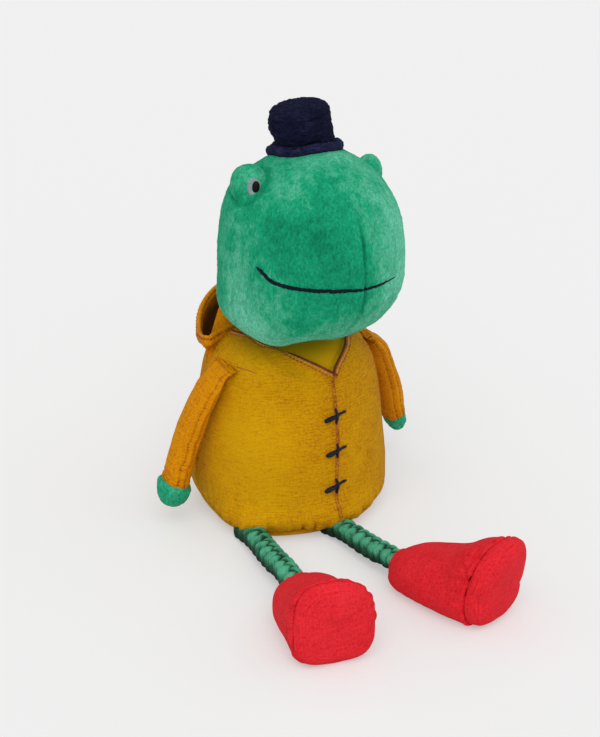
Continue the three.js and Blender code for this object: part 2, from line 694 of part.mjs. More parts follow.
function makeToggles() {
  TOGGLE_Z.forEach((z, index) => {
    const spot = coatPoint(0, z, 5 * GAP + PLACKET.thick + TOGGLE.radius);
    const body = placed(
      new THREE.CapsuleGeometry(TOGGLE.radius, TOGGLE.length - 2 * TOGGLE.radius, 3, 8),
      turnZ(90),
      turnY(-TOGGLE.tiltDeg),
      moveBy(spot.x, spot.y, spot.z),
    );
    const bar = placed(
      new THREE.CapsuleGeometry(TOGGLE.barRadius, TOGGLE.barLength - 2 * TOGGLE.barRadius, 2, 6),
      turnX(90),
      moveBy(spot.x, spot.y - TOGGLE.radius * 0.6, spot.z),
    );
    addPart(`toggle_${index + 1}`, solid(body).add(solid(bar)), NAVY);
  });
}

makeBody();
makeSqueaker();
makeNeckAndHead();
makeEye("right", -1);
makeEye("left", 1);
makeMouth();
makeHat();
makeHood();
makeArm("right", -1);
makeArm("left", 1);
makeRope("right");
makeRope("left");
makeBoot("right");
makeBoot("left");
makeStitching();
makeToggles();

export default toy;
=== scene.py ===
"""Looks of the stuffed frog toy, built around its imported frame. Lengths in the shape code are millimetres."""
import json
import math

import bpy
import numpy as np
from mathutils import Matrix, Vector
from mathutils.bvhtree import BVHTree

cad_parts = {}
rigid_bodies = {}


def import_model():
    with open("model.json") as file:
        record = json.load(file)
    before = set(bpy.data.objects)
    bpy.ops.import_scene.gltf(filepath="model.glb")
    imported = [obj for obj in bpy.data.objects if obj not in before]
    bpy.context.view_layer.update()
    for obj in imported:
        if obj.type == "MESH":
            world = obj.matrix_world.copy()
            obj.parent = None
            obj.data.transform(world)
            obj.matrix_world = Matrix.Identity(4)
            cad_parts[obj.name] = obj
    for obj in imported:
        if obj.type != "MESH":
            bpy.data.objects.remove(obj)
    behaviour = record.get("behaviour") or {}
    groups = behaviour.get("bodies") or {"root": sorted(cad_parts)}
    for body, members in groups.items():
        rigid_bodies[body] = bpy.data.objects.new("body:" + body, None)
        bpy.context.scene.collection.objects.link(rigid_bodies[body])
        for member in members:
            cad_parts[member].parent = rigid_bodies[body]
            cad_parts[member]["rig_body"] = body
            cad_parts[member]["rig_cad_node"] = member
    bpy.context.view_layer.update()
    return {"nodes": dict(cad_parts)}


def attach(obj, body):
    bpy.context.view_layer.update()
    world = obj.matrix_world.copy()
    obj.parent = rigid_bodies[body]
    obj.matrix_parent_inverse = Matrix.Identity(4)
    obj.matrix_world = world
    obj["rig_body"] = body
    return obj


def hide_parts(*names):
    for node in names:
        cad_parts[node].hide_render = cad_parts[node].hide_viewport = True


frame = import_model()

MM = 0.001
TAU = 2 * math.pi
SIDES = (("right", -1), ("left", 1))
SPLINE_STEPS = 24

# Camera

AZIMUTH, ELEVATION = math.radians(-32), math.radians(28)
CAMERA_DISTANCE = 1.0
SENSOR_MM = 36
PICTURE = (600, 737)
FOCAL_PX = 1640
CENTRE_PX = (287, 492)


def make_camera():
    back = Vector((
        math.sin(AZIMUTH) * math.cos(ELEVATION),
        -math.cos(AZIMUTH) * math.cos(ELEVATION),
        math.sin(ELEVATION),
    ))
    data = bpy.data.cameras.new("camera")
    camera = bpy.data.objects.new("camera", data)
    bpy.context.scene.collection.objects.link(camera)
    camera.location = back * CAMERA_DISTANCE
    camera.rotation_euler = (-back).to_track_quat("-Z", "Y").to_euler()
    data.sensor_width = SENSOR_MM
    data.lens = SENSOR_MM * FOCAL_PX / PICTURE[1]
    data.shift_x = (PICTURE[0] / 2 - CENTRE_PX[0]) / PICTURE[1]
    data.shift_y = (CENTRE_PX[1] - PICTURE[1] / 2) / PICTURE[1]
    bpy.context.scene.camera = camera


make_camera()

# Numbers and shapes


def noise(points, size, seed=0):
    """Smooth noise from -1 to 1 at each point, with features about size millimetres across."""
    q = np.asarray(points, float) / size + 31.7 * (seed + 1)
    cell = np.floor(q).astype(np.int64)
    f = q - cell
    f = f * f * (3 - 2 * f)
    total = 0.0
    for dx in (0, 1):
        for dy in (0, 1):
            for dz in (0, 1):
                x, y, z = cell[..., 0] + dx, cell[..., 1] + dy, cell[..., 2] + dz
                n = (x * 374761393 + y * 668265263 + z * 1442695041 + seed * 974711) & 0xFFFFFFFF
                n = ((n ^ (n >> 13)) * 1274126177) & 0xFFFFFFFF
                value = ((n ^ (n >> 16)) & 0xFFFF) / 32767.5 - 1
                wx = f[..., 0] if dx else 1 - f[..., 0]
                wy = f[..., 1] if dy else 1 - f[..., 1]
                wz = f[..., 2] if dz else 1 - f[..., 2]
                total = total + value * wx * wy * wz
    return total


def rounded(value, power):
    return np.sign(value) * np.abs(value) ** (2 / power)


def smooth(x, low, high):
    t = np.clip((x - low) / (high - low), 0, 1)
    return t * t * (3 - 2 * t)


def bell(x, width=1.0):
    """1 where x is 0, falling softly to 0 at about twice the width."""
    return np.exp(-(x / width) ** 2)


def unit(vectors):
    return vectors / (np.linalg.norm(vectors, axis=-1, keepdims=True) + 1e-12)


def run_along(path):
    """How far along a path each of its points lies."""
    return np.r_[0, np.cumsum(np.linalg.norm(np.diff(path, axis=0), axis=1))]


def between(a, b, c, d, t):
    """The smooth curve from b to c, whose neighbours are a and d, at t from 0 to 1."""
    return 0.5 * (2 * b + (c - a) * t + (2 * a - 5 * b + 4 * c - d) * t ** 2 + (3 * b - a - 3 * c + d) * t ** 3)


def spline(points, count):
    """A smooth curve through points, as count points evenly spaced along it."""
    p = np.asarray(points, float)
    ext = np.vstack([2 * p[0] - p[1], p, 2 * p[-1] - p[-2]])
    t = np.linspace(0, 1, SPLINE_STEPS, endpoint=False)[:, None]
    fine = np.vstack([*(between(*ext[i: i + 4], t) for i in range(len(p) - 1)), p[-1:]])
    s = run_along(fine)
    at = np.linspace(0, s[-1], count)
    return np.stack([np.interp(at, s, fine[:, k]) for k in range(fine.shape[1])], 1)


def refine(grid, k_rows, k_cols):
    """A finer grid through the same points: rows are open, columns run round."""
    def finer(g, k, wrap):
        n = len(g)
        idx = np.arange(n if wrap else n - 1)
        four = [g[i % n] if wrap else g[np.clip(i, 0, n - 1)] for i in (idx - 1, idx, idx + 1, idx + 2)]
        out = np.stack([between(*four, j / k) for j in range(k)], 1).reshape(-1, *g.shape[1:])
        return out if wrap else np.concatenate([out, g[-1:]])
    g = finer(grid, k_rows, False)
    return finer(g.swapaxes(0, 1), k_cols, True).swapaxes(0, 1)


def normals(grid):
    """Outward normals of a tube-like grid."""
    around = np.roll(grid, -1, 1) - np.roll(grid, 1, 1)
    n = np.cross(around, np.gradient(grid, axis=0))
    n /= np.linalg.norm(n, axis=2, keepdims=True) + 1e-9
    outward = grid - grid.mean(1, keepdims=True)
    return n if (n * outward).sum() > 0 else -n


def push(grid, amount):
    return grid + normals(grid) * np.asarray(amount)[..., None]


def near(points, line):
    """Distance from each point to a line of points, how far along it the nearest place is, and its length."""
    p = points.reshape(-1, 3)
    best = np.full(len(p), 1e9)
    place = np.zeros(len(p))
    run = 0.0
    for a, b in zip(line[:-1], line[1:]):
        ab = b - a
        length = np.linalg.norm(ab)
        t = np.clip((p - a) @ ab / (length ** 2 + 1e-12), 0, 1)
        d = np.linalg.norm(p - (a + t[:, None] * ab), axis=1)
        closer = d < best
        best[closer] = d[closer]
        place[closer] = run + t[closer] * length
        run += length
    return best.reshape(points.shape[:-1]), place.reshape(points.shape[:-1]), run


def gap_to(points, line):
    return near(points, line)[0]


def ridge_near(grid, line, width, height, away=0.0):
    return height * bell(gap_to(grid, line) - away, width)


def groove(grid, line, depth, width, lip=0.0):
    """Presses a soft groove with raised lips into a grid along a line of points."""
    d, place, run = near(grid, np.asarray(line, float))
    ends = smooth(place, -1e-6, 0.08 * run) * smooth(-place, -run - 1e-6, -0.92 * run)
    return push(grid, ends * (-depth * bell(d, width) + lip * bell(d - 2 * width, width)))


def front_angle(grid):
    """The angle round from the front, positive towards the toy's left."""
    return np.arctan2(grid[..., 0], -grid[..., 1])


def on_side(points, side):
    """Points given for the toy's left, on the side whose sign is given."""
    return [(side * x, y, z) for x, y, z in points]


def lathe(rows, cols):
    """Rings about the Z axis through rows of radius and height."""
    angle = np.linspace(0, TAU, cols, endpoint=False)
    radius, height = rows[:, :1], rows[:, 1:2]
    return np.stack([radius * np.sin(angle), -radius * np.cos(angle), np.repeat(height, cols, 1)], -1)


def turned(points, axis, degrees):
    return points @ np.array(Matrix.Rotation(math.radians(degrees), 3, axis)).T


# Meshes


def new_object(name, verts, faces, uv=None):
    mesh = bpy.data.meshes.new(name)
    mesh.from_pydata((np.asarray(verts) * MM).tolist(), [], faces)
    mesh.update()
    obj = bpy.data.objects.new(name, mesh)
    bpy.context.scene.collection.objects.link(obj)
    mesh.polygons.foreach_set("use_smooth", np.ones(len(mesh.polygons), bool))
    if uv is not None:
        layer = mesh.uv_layers.new(name="cloth")
        layer.data.foreach_set("uv", np.asarray(uv, np.float32).ravel())
    return obj


def grid_parts(grid, caps=True, start=0):
    """Vertices, faces and face-corner UVs, in millimetres of cloth, of a grid with flat fans at its ends."""
    rows, cols = grid.shape[:2]
    index = np.arange(rows * cols).reshape(rows, cols) + start
    r, c = np.meshgrid(np.arange(rows - 1), np.arange(cols), indexing="ij")
    corners = ((0, 0), (0, 1), (1, 1), (1, 0))
    quads = np.stack([index[r + i, (c + j) % cols] for i, j in corners], -1).reshape(-1, 4)
    steps = np.linalg.norm(np.diff(grid, axis=0), axis=2).mean(1)
    v_at = np.r_[0, np.cumsum(steps)]
    u_at = np.linspace(0, np.linalg.norm(np.roll(grid, -1, 1) - grid, axis=2).sum(1).max(), cols + 1)
    uv = np.stack([np.stack([u_at[c + j], v_at[r + i]], -1) for i, j in corners], -2).reshape(-1, 2)
    verts = grid.reshape(-1, 3)
    faces = [tuple(q) for q in quads.tolist()]
    if caps:
        middle = len(verts) + start
        verts = np.vstack([verts, grid[0].mean(0), grid[-1].mean(0)])
        flat = []
        for i in range(cols):
            faces.append((int(index[0, (i + 1) % cols]), int(index[0, i]), middle))
            faces.append((int(index[-1, i]), int(index[-1, (i + 1) % cols]), middle + 1))
            flat += [(u_at[i + 1], v_at[0]), (u_at[i], v_at[0]), (u_at[i], v_at[0] - 1)]
            flat += [(u_at[i], v_at[-1]), (u_at[i + 1], v_at[-1]), (u_at[i], v_at[-1] + 1)]
        uv = np.vstack([uv, flat])
    return verts, faces, uv


def shade(obj, amount):
    """Keeps painted shade and light, and on the plush the brushed pile, as how much lighter or darker the material
    is at each vertex.
    """
    values = np.zeros(len(obj.data.vertices), np.float32)
    amount = np.asarray(amount, np.float32).ravel()
    values[: len(amount)] = amount
    obj.data.attributes.new("pile_and_painted_shade", "FLOAT", "POINT").data.foreach_set("value", values)


def spot(points, centre, radius):
    """1 at a centre, falling softly to 0 at about twice the radius."""
    return bell(np.linalg.norm(points - np.array(centre, float), axis=-1), radius)


def spots(points, table):
    """The sum of spots, each given by x, y, z, strength and radius."""
    return sum(strength * spot(points, (x, y, z), radius) for x, y, z, strength, radius in table)


def face_out(obj):
    """Turns the faces outwards, by the sign of the volume they enclose."""
    mesh = obj.data
    mesh.calc_loop_triangles()
    co = np.array([v.co for v in mesh.vertices])
    tri = np.array([t.vertices for t in mesh.loop_triangles])
    a, b, c = co[tri[:, 0]], co[tri[:, 1]], co[tri[:, 2]]
    if (a * np.cross(b, c)).sum() < 0:
        mesh.flip_normals()
    return obj


def joined_parts(grids):
    """The vertices, faces and UVs of several grids as one mesh."""
    verts, faces, uvs = [], [], []
    count = 0
    for grid in grids:
        v, f, uv = grid_parts(grid, start=count)
        verts.append(v)
        faces += f
        uvs.append(uv)
        count += len(v)
    return np.vstack(verts), faces, np.vstack(uvs)


def skin(name, *grids):
    return face_out(new_object(name, *joined_parts(grids)))


def surface_of(*grids):
    verts, faces, _ = joined_parts(grids)
    return BVHTree.FromPolygons(verts.tolist(), faces)


def snap(surface, points, lift=0.0, inside=None):
    """Points moved onto a surface and lifted off it, and the outward normals there."""
    out, norm = [], []
    for p in np.asarray(points, float):
        place, n, _, _ = surface.find_nearest(Vector(p))
        place, n = np.array(place), np.array(n)
        if inside is not None and (place - inside) @ n < 0:
            n = -n
        out.append(place + n * lift)
        norm.append(n)
    return np.array(out), np.array(norm)


def tube(path, radius, around=10, up=None, flat=1.0, twist=0.0, ridges=0, ridge=0.0, round_ends=True):
    """A tube grid along a path. radius is one number or one per point; up gives each point's flat direction."""
    path = np.asarray(path, float)
    count = len(path)
    radius = np.broadcast_to(np.asarray(radius, float), (count,)).copy()
    t = unit(np.gradient(path, axis=0))
    if up is None:
        ref = np.array([0.0, 0.0, 1.0]) if abs(t[0][2]) < 0.9 else np.array([1.0, 0.0, 0.0])
        ups = [ref - t[0] * (ref @ t[0])]
        for i in range(1, count):
            ups.append(unit(ups[-1] - t[i] * (ups[-1] @ t[i])))
        up = np.array(ups)
    up = np.broadcast_to(np.asarray(up, float), (count, 3))
    side = unit(np.cross(t, up))
    up = np.cross(side, t)
    angle = np.linspace(0, TAU, around, endpoint=False)
    turn = np.broadcast_to(np.asarray(twist, float), (count,))
    a = angle[None, :] + turn[:, None]
    r = radius[:, None] * (1 + ridge * np.cos(ridges * angle[None, :]))
    grid = path[:, None] + side[:, None] * (np.cos(a) * r)[..., None]
    grid = grid + up[:, None] * (np.sin(a) * r * flat)[..., None]
    if round_ends:
        first, last = [], []
        for k in (0.35, 0.75, 0.95):
            shrink = math.sqrt(1 - k * k)
            first.insert(0, path[0] + (grid[0] - path[0]) * shrink - t[0] * radius[0] * k)
            last.append(path[-1] + (grid[-1] - path[-1]) * shrink + t[-1] * radius[-1] * k)
        grid = np.concatenate([np.array(first), grid, np.array(last)])
    return grid


# Cloth

CLOTH_SCALE = 10
CLOTH_PRESSURE = 4
CLOTH_STIFFNESS = 15
CLOTH_MASS = 0.3
CLOTH_QUALITY = 5


def held_ends(grid, first, last=0):
    """Marks a grid's first and last rows as sewn down."""
    held = np.zeros(grid.shape[:2], bool)
    held[:first] = True
    held[len(held) - last:] = True
    return held


def puff(grid, held, slack, cap, bend, frames=18):
    """Inflates a closed grid as cloth with some slack, moved by cap at most, while its held places stay."""
    rows, cols = grid.shape[:2]
    verts, faces, _ = grid_parts(grid)
    obj = face_out(new_object("puffing", verts * CLOTH_SCALE, faces))
    pins = [int(i) for i in np.flatnonzero(held.ravel())] + [rows * cols, rows * cols + 1]
    obj.vertex_groups.new(name="seams").add(pins, 1.0, "REPLACE")
    s = obj.modifiers.new("cloth", "CLOTH").settings
    s.quality = CLOTH_QUALITY
    s.mass = CLOTH_MASS
    s.tension_stiffness = CLOTH_STIFFNESS
    s.compression_stiffness = CLOTH_STIFFNESS
    s.shear_stiffness = CLOTH_STIFFNESS / 3
    s.bending_stiffness = bend
    s.use_pressure = True
    s.uniform_pressure_force = CLOTH_PRESSURE
    s.vertex_group_mass = "seams"
    s.shrink_min = -slack
    s.effector_weights.gravity = 0
    scene = bpy.context.scene
    for f in range(1, frames + 1):
        scene.frame_set(f)
    shaped = obj.evaluated_get(bpy.context.evaluated_depsgraph_get())
    co = np.zeros(len(verts) * 3)
    shaped.data.vertices.foreach_get("co", co)
    co = co.reshape(-1, 3) / CLOTH_SCALE / MM
    scene.frame_set(1)
    bpy.data.objects.remove(obj)
    move = (co - verts)[: rows * cols].reshape(grid.shape)
    length = np.linalg.norm(move, axis=2, keepdims=True)
    return grid + move * np.minimum(1, cap / np.maximum(length, 1e-9))


def part_puffed(grid, rise, calm_share, **kind):
    """A grid puffed as cloth, but only pushed out evenly by rise where calm_share is 1."""
    plain = push(grid, rise)
    soft = puff(grid, **kind)
    return soft + (plain - soft) * calm_share[..., None]


# Materials


class Look:
    """A material whose nodes are wired in short calls."""

    def __init__(self, name):
        self.material = bpy.data.materials.new(name)
        self.material.use_nodes = True
        self.tree = self.material.node_tree
        self.tree.nodes.clear()
        self.out = self.tree.nodes.new("ShaderNodeOutputMaterial")

    def add(self, kind, settings=None, **inputs):
        node = self.tree.nodes.new("ShaderNode" + kind)
        for key, value in (settings or {}).items():
            setattr(node, key, value)
        for key, value in inputs.items():
            self.join(node, key, value)
        return node

    def join(self, node, key, value):
        """Sets or links an input, named, or numbered as i0, i1 and so on."""
        socket = node.inputs[int(key[1:]) if key[0] == "i" and key[1:].isdigit() else key.replace("_", " ")]
        if isinstance(value, bpy.types.NodeSocket):
            self.tree.links.new(value, socket)
        elif isinstance(value, bpy.types.Node):
            self.tree.links.new(value.outputs[0], socket)
        else:
            socket.default_value = value

    def math(self, operation, a, b=0.0, c=0.0):
        return self.add("Math", {"operation": operation}, i0=a, i1=b, i2=c).outputs[0]

    def added(self, a, share_a, b, share_b):
        """Two values added up, each times its share."""
        return self.math("ADD", self.math("MULTIPLY", a, share_a), self.math("MULTIPLY", b, share_b))

    def place(self, scale=(1, 1, 1)):
        """The piece's own coordinates in millimetres, stretched by scale."""
        where = self.add("TexCoord").outputs["Object"]
        return self.add("Mapping", None, Vector=where, Scale=tuple(s / MM for s in scale)).outputs[0]

    def cloth(self, scale=(1, 1, 1)):
        where = self.add("UVMap", {"uv_map": "cloth"}).outputs[0]
        return self.add("Mapping", None, Vector=where, Scale=scale).outputs[0]

    def pile_and_painted_shade(self):
        """What shade() keeps at each vertex."""
        return self.add("Attribute", {"attribute_name": "pile_and_painted_shade"}).outputs["Fac"]

    def noise(self, where, scale, detail=2.0, rough=0.5, distort=0.0):
        sizes = {"Scale": scale, "Detail": detail, "Roughness": rough, "Distortion": distort}
        node = self.add("TexNoise", None, Vector=where, **sizes)
        return node.outputs["Fac"]

    def ramp(self, value, *stops):
        node = self.add("ValToRGB", None, Fac=value)
        ramp = node.color_ramp
        while len(ramp.elements) < len(stops):
            ramp.elements.new(0.5)
        for element, (at, colour) in zip(ramp.elements, stops):
            element.position = at
            element.color = (*colour, 1)
        return node.outputs[0]

    def grey(self, value, low, high, to_low=0.0, to_high=1.0):
        node = self.add("MapRange", None, Value=value)
        for key, v in (("From Min", low), ("From Max", high), ("To Min", to_low), ("To Max", to_high)):
            node.inputs[key].default_value = v
        return node.outputs[0]

    def times(self, factor, a, b):
        """Colour a multiplied by colour b, by as much as factor says."""
        node = self.add("Mix", {"data_type": "RGBA", "blend_type": "MULTIPLY"}, i0=factor, i6=a)
        self.join(node, "i7", (*b, 1) if isinstance(b, tuple) else b)
        return node.outputs[2]

    def dimmed(self, colour, factor):
        """A colour times a grey value."""
        return self.times(1.0, colour, self.add("CombineXYZ", None, X=factor, Y=factor, Z=factor).outputs[0])

    def bump(self, height, strength, distance):
        return self.add("Bump", None, Height=height, Strength=strength, Distance=distance * MM).outputs[0]

    def finish(self, colour, roughness, normal, **fixed):
        surface = {"Base_Color": colour, "Roughness": roughness, "Normal": normal}
        shader = self.add("BsdfPrincipled", None, **surface, **fixed)
        self.tree.links.new(shader.outputs[0], self.out.inputs[0])
        return self.material


def srgb(colour):
    return tuple(((c / 255 + 0.055) / 1.055) ** 2.4 if c > 10 else c / 255 / 12.92 for c in colour)


def canvas(name, *colours, pitch=0.8, patch=26.0):
    """Ribbed weave: plump weft threads, finer warp, slubs along both, slow changes of shade, and the painted shade
    and light that shade() keeps, much darker in painted hollows.
    """
    deepest, dark, base, light = map(srgb, colours)
    look = Look(name)
    uv = look.add("SeparateXYZ", None, Vector=look.cloth())
    wobble = look.math("MULTIPLY", look.noise(look.cloth((0.12, 0.12, 1)), 1.0, 2), 0.5)
    across = look.math("SINE", look.math("MULTIPLY", uv.outputs[0], TAU / pitch))
    along = look.math("SINE", look.math("MULTIPLY", look.math("ADD", uv.outputs[1], wobble), TAU / pitch))
    weave = look.added(along, 0.72, across, 0.28)
    weft = look.noise(look.cloth((0.09, 1.2 / pitch, 1)), 1.0, 2)
    warp = look.noise(look.cloth((1.2 / pitch, 0.09, 1)), 1.0, 2)
    slubs = look.added(weft, 0.7, warp, 0.3)
    slow = look.noise(look.place(), 1 / patch, 3, 0.55, 0.4)
    fine = look.added(slubs, 0.7, look.noise(look.place(), 1 / 1.3, 2, 0.6), 0.5)
    tone = look.math("ADD", look.math("MULTIPLY", slow, 0.35), look.math("MULTIPLY_ADD", fine, 1.6, -0.62))
    pile_and_painted_shade = look.pile_and_painted_shade()
    # painted shade and light from shade() move the tone
    tone = look.math("ADD", tone, look.math("MULTIPLY", pile_and_painted_shade, 0.3))
    colour = look.ramp(look.grey(tone, 0.05, 0.75), (0, deepest), (0.3, dark), (0.64, base), (1, light))
    threads = look.times(look.grey(weave, -1, 1, 0.24, 0.0), colour, dark)
    # painted shade: colour much darker where shade() paints a hollow, such as inside the hood
    painted_hollow_shade = look.grey(pile_and_painted_shade, -2.7, -1.9, 0.28, 1.0)
    bump = look.bump(look.added(weave, 0.7, fine, 2.4), 0.6, 0.2)
    return look.finish(look.dimmed(threads, painted_hollow_shade), look.grey(slubs, 0.2, 0.8, 0.8, 0.95), bump,
                       Sheen_Weight=0.06, Sheen_Roughness=0.5, Sheen_Tint=(*light, 1), Specular_IOR_Level=0.12)


def plush(name, *colours, pile=1.15, patch=30.0, sheen=0.3, grain=1.0, streak=(1, 1, 0.6)):
    """Short pile: soft areas of light and dark, partly random and partly the brushed pile and painted shade and
    sheen that shade() keeps, small tufts, and a fine grain of fibres.
    """
    dark, base, light = map(srgb, colours)
    look = Look(name)
    patches = look.noise(look.place(), 1 / patch, 1.5, 0.45, 0.5)
    tufts = look.noise(look.place(streak), 1 / (pile * 2.6), 2, 0.6, 0.8)
    fibre = look.noise(look.place(streak), 1 / pile, 3, 0.7, 0.6)
    # brushed pile, and painted shade and sheen from shade(), lighten or darken the pile
    pile_and_painted_tone = look.math("MULTIPLY_ADD", look.pile_and_painted_shade(), 0.3, 0.17)
    slow = look.math("ADD", look.added(patches, 0.3, tufts, 0.34), pile_and_painted_tone)
    colour = look.ramp(look.grey(slow, 0.26, 0.8), (0.0, dark), (0.45, base), (1, light))
    speck = look.grey(fibre, 0.3, 0.7, 1 - 0.36 * grain, 1 + 0.34 * grain)
    bump = look.bump(look.math("ADD", fibre, look.math("MULTIPLY", tufts, 1.1)), 0.8, 0.5)
    rough = look.grey(fibre, 0.2, 0.8, 0.85, 1.0)
    return look.finish(look.dimmed(colour, speck), rough, bump, Sheen_Weight=sheen,
                       Sheen_Roughness=0.35, Sheen_Tint=(*light, 1), Specular_IOR_Level=0.08)


def fibrous(name, *colours, size=1.2, rough=(0.4, 0.6), sheen=0.0, bump=0.5, spec=0.4):
    """Yarn: fine fibres that run along the cloth coordinates' second direction, lighter or darker by the painted
    shade that shade() keeps.
    """
    dark, base, light = map(srgb, colours)
    look = Look(name)
    fine = look.noise(look.cloth((5.0, 0.35, 1)), size, 3, 0.6)
    tone = look.added(fine, 0.6, look.noise(look.place(), 0.16, 2, 0.5), 0.4)
    # painted shade from shade() darkens the yarn, such as between the rope's strands
    tone = look.math("ADD", tone, look.math("MULTIPLY", look.pile_and_painted_shade(), 0.3))
    colour = look.ramp(look.grey(tone, 0.3, 0.7), (0, dark), (0.5, base), (1, light))
    shine = look.grey(fine, 0.2, 0.8, *rough)
    return look.finish(colour, shine, look.bump(fine, bump, 0.3), Sheen_Weight=sheen,
                       Sheen_Roughness=0.4, Specular_IOR_Level=spec)


COAT = canvas("coat_canvas", (138, 78, 0), (184, 122, 0), (209, 153, 0), (222, 171, 3))
SLEEVE = canvas("sleeve_canvas", (112, 50, 0), (192, 112, 0), (222, 146, 0), (232, 160, 4))
HEM = canvas("hood_hem_canvas", (112, 50, 0), (196, 112, 0), (224, 144, 2), (232, 162, 8))
# painted shade: a near-black canvas for the shadowed pouch inside the hood
POUCH_SHADE_CANVAS = canvas("hood_pouch_painted_shade", (40, 16, 0), (64, 30, 0), (92, 48, 2), (120, 66, 4))
RED = canvas("red_canvas", (130, 4, 14), (218, 24, 36), (238, 42, 54), (244, 56, 66), pitch=0.7, patch=34)
GREEN = plush("green_plush", (10, 124, 88), (24, 158, 114), (104, 198, 164))
MITT = plush("green_mitt_plush", (20, 128, 88), (44, 164, 124), (104, 198, 166), patch=9, grain=1.2)
FLEECE = plush("navy_fleece", (9, 11, 28), (18, 20, 44), (44, 47, 82), pile=1.1, patch=9, sheen=0.25, grain=2.3,
               streak=(0.45, 0.45, 1.6))
ROPE = fibrous("green_rope", (0, 38, 24), (6, 94, 62), (84, 186, 146), size=0.9, spec=0.3, bump=1.0)
RUST = fibrous("rust_thread", (120, 46, 4), (172, 82, 16), (216, 130, 58), sheen=0.2)
SEAM = fibrous("dark_rust_thread", (80, 22, 2), (116, 40, 6), (150, 66, 16))
PALE = fibrous("pale_orange_thread", (196, 118, 34), (226, 150, 62), (244, 190, 116))
NAVY = fibrous("navy_thread", (6, 8, 18), (14, 16, 32), (40, 44, 66), rough=(0.5, 0.7), spec=0.25)
INK = fibrous("mouth_thread_navy", (2, 10, 20), (4, 18, 30), (18, 38, 48), rough=(0.6, 0.8), spec=0.15)
GREY = fibrous("eye_grey_thread", (84, 102, 106), (124, 144, 146), (184, 200, 198), size=1.6)
BLACK = fibrous(
    "eye_black_thread", (2, 2, 4), (4, 4, 6), (12, 12, 14), size=1.6, rough=(0.45, 0.6), spec=0.15, bump=0.1,
)
FILL = plush("polyester_fill", (205, 203, 198), (232, 230, 225), (246, 245, 242), pile=2.0, patch=12, grain=0.4)
PLASTIC = fibrous("squeaker_plastic", (196, 202, 206), (214, 220, 224), (228, 232, 235), size=0.5, bump=0.05)


def dress(obj, body, look, slot, *nodes):
    obj.data.materials.clear()
    obj.data.materials.append(look)
    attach(obj, body)
    if nodes:
        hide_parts(*nodes)
    return obj


# Coat

COAT_DEPTH = 0.94
COAT_POWER = 2.15
COAT_SIDE = [
    (52.2, 4.2), (54.6, 6.2), (56.4, 9.5), (57.8, 15), (58.4, 24), (57.6, 36), (56.2, 48), (54.4, 60), (52.2, 72),
    (50, 83), (47, 93), (42.5, 101), (36, 105.6), (28, 107.8), (20, 108.6),
]
COAT_ROWS, COAT_COLS = 56, 96
COAT_SWELL = 1.6
COAT_INSIDE = np.array([0.0, 0, 60])
SEAM_Z = 5.0


def coat_ring(half, z, cols=COAT_COLS):
    angle = np.linspace(0, TAU, cols, endpoint=False)
    x = half * rounded(np.sin(angle), COAT_POWER)
    y = -half * COAT_DEPTH * rounded(np.cos(angle), COAT_POWER)
    return np.stack([x, y, np.full(cols, float(z))], 1)


V_RIGHT = [
    (-31.5, 9, 107), (-30.2, 3, 107.4), (-28.6, -5, 107.6), (-27.4, -13, 107.2), (-24.2, -22, 106.4),
    (-19.4, -29.2, 104.9), (-13.5, -35.7, 102.9), (-6.6, -40.7, 99.2), (2.6, -44.2, 92.6),
]
V_LEFT = [
    (31.5, 9, 107), (30.6, 3, 107.4), (29.4, -3, 107.6), (28.2, -12, 107.2), (26.5, -19, 106.8),
    (23.3, -26.6, 105.2), (17.6, -34, 102.6), (10.4, -39.6, 99.4), (5.4, -42.6, 95.4), (2.8, -43.9, 92.8),
]
PLACKET_TOP, PLACKET_FOOT = 93.0, 7.0
PLACKET_PATH = (
    (7, -4.4), (18, -3.0), (30, -1.7), (42, -0.4), (51, 0.2), (62, 1.2), (71, 1.5), (82, 1.5), (93, 1.4),
)
SIDE_SEAM = [(57.4, 6, 5), (58.6, 6, 24), (56.6, 5, 48), (52, 4, 74), (49, 2, 88)]
SIDE_FOLD = [(52, -22, 90), (48, -30, 82), (45, -34, 73)]
SHOULDER_DART = [(41.8, -14.8, 98.1), (39, -20.8, 97.6), (36.2, -26.3, 96.9)]
CHEST_FOLD = [(-30, -19, 103.4), (-21, -33, 100.4), (-10, -42, 94.6), (-4, -44.6, 90.5)]
SLEEVE_SEAM = (49, -10, 97)


def placket_x(z):
    """Where the front closing runs, at each height."""
    return np.interp(z, [p[0] for p in PLACKET_PATH], [p[1] for p in PLACKET_PATH])


def spread_hem(grid, amount):
    """The coat's lower edge stands out in front and towards the right leg, and in at the right side."""
    angle = front_angle(grid)
    right_front = bell(angle + 0.95, 0.42)
    out = grid.copy()
    out[..., 1] -= amount * (4.2 * bell(angle + 0.1, 0.85) + 2.8 * right_front)
    out[..., 0] += amount * (2.6 * bell(angle + 1.75, 0.4) - 3.0 * right_front)
    return out


def hem_tucks(angle, z):
    """Little gathers at random places round the hem, each with its own depth, width and reach."""
    rng = np.random.default_rng(5)
    tucks = np.zeros_like(z)
    at = -math.pi
    while at < math.pi:
        reach = rng.uniform(5, 12)
        width = rng.uniform(0.018, 0.034)
        lean = rng.uniform(-0.5, 0.5)
        off = (angle - at - lean * 0.01 * (z - SEAM_Z)) / width
        fade = np.exp(-np.maximum(z - SEAM_Z, 0) / reach)
        tucks += (0.6 * bell(np.abs(off) - 2) - rng.uniform(0.6, 2.3) * bell(off)) * fade
        at += rng.uniform(0.07, 0.2)
    return tucks * smooth(z, 3.5, 6)


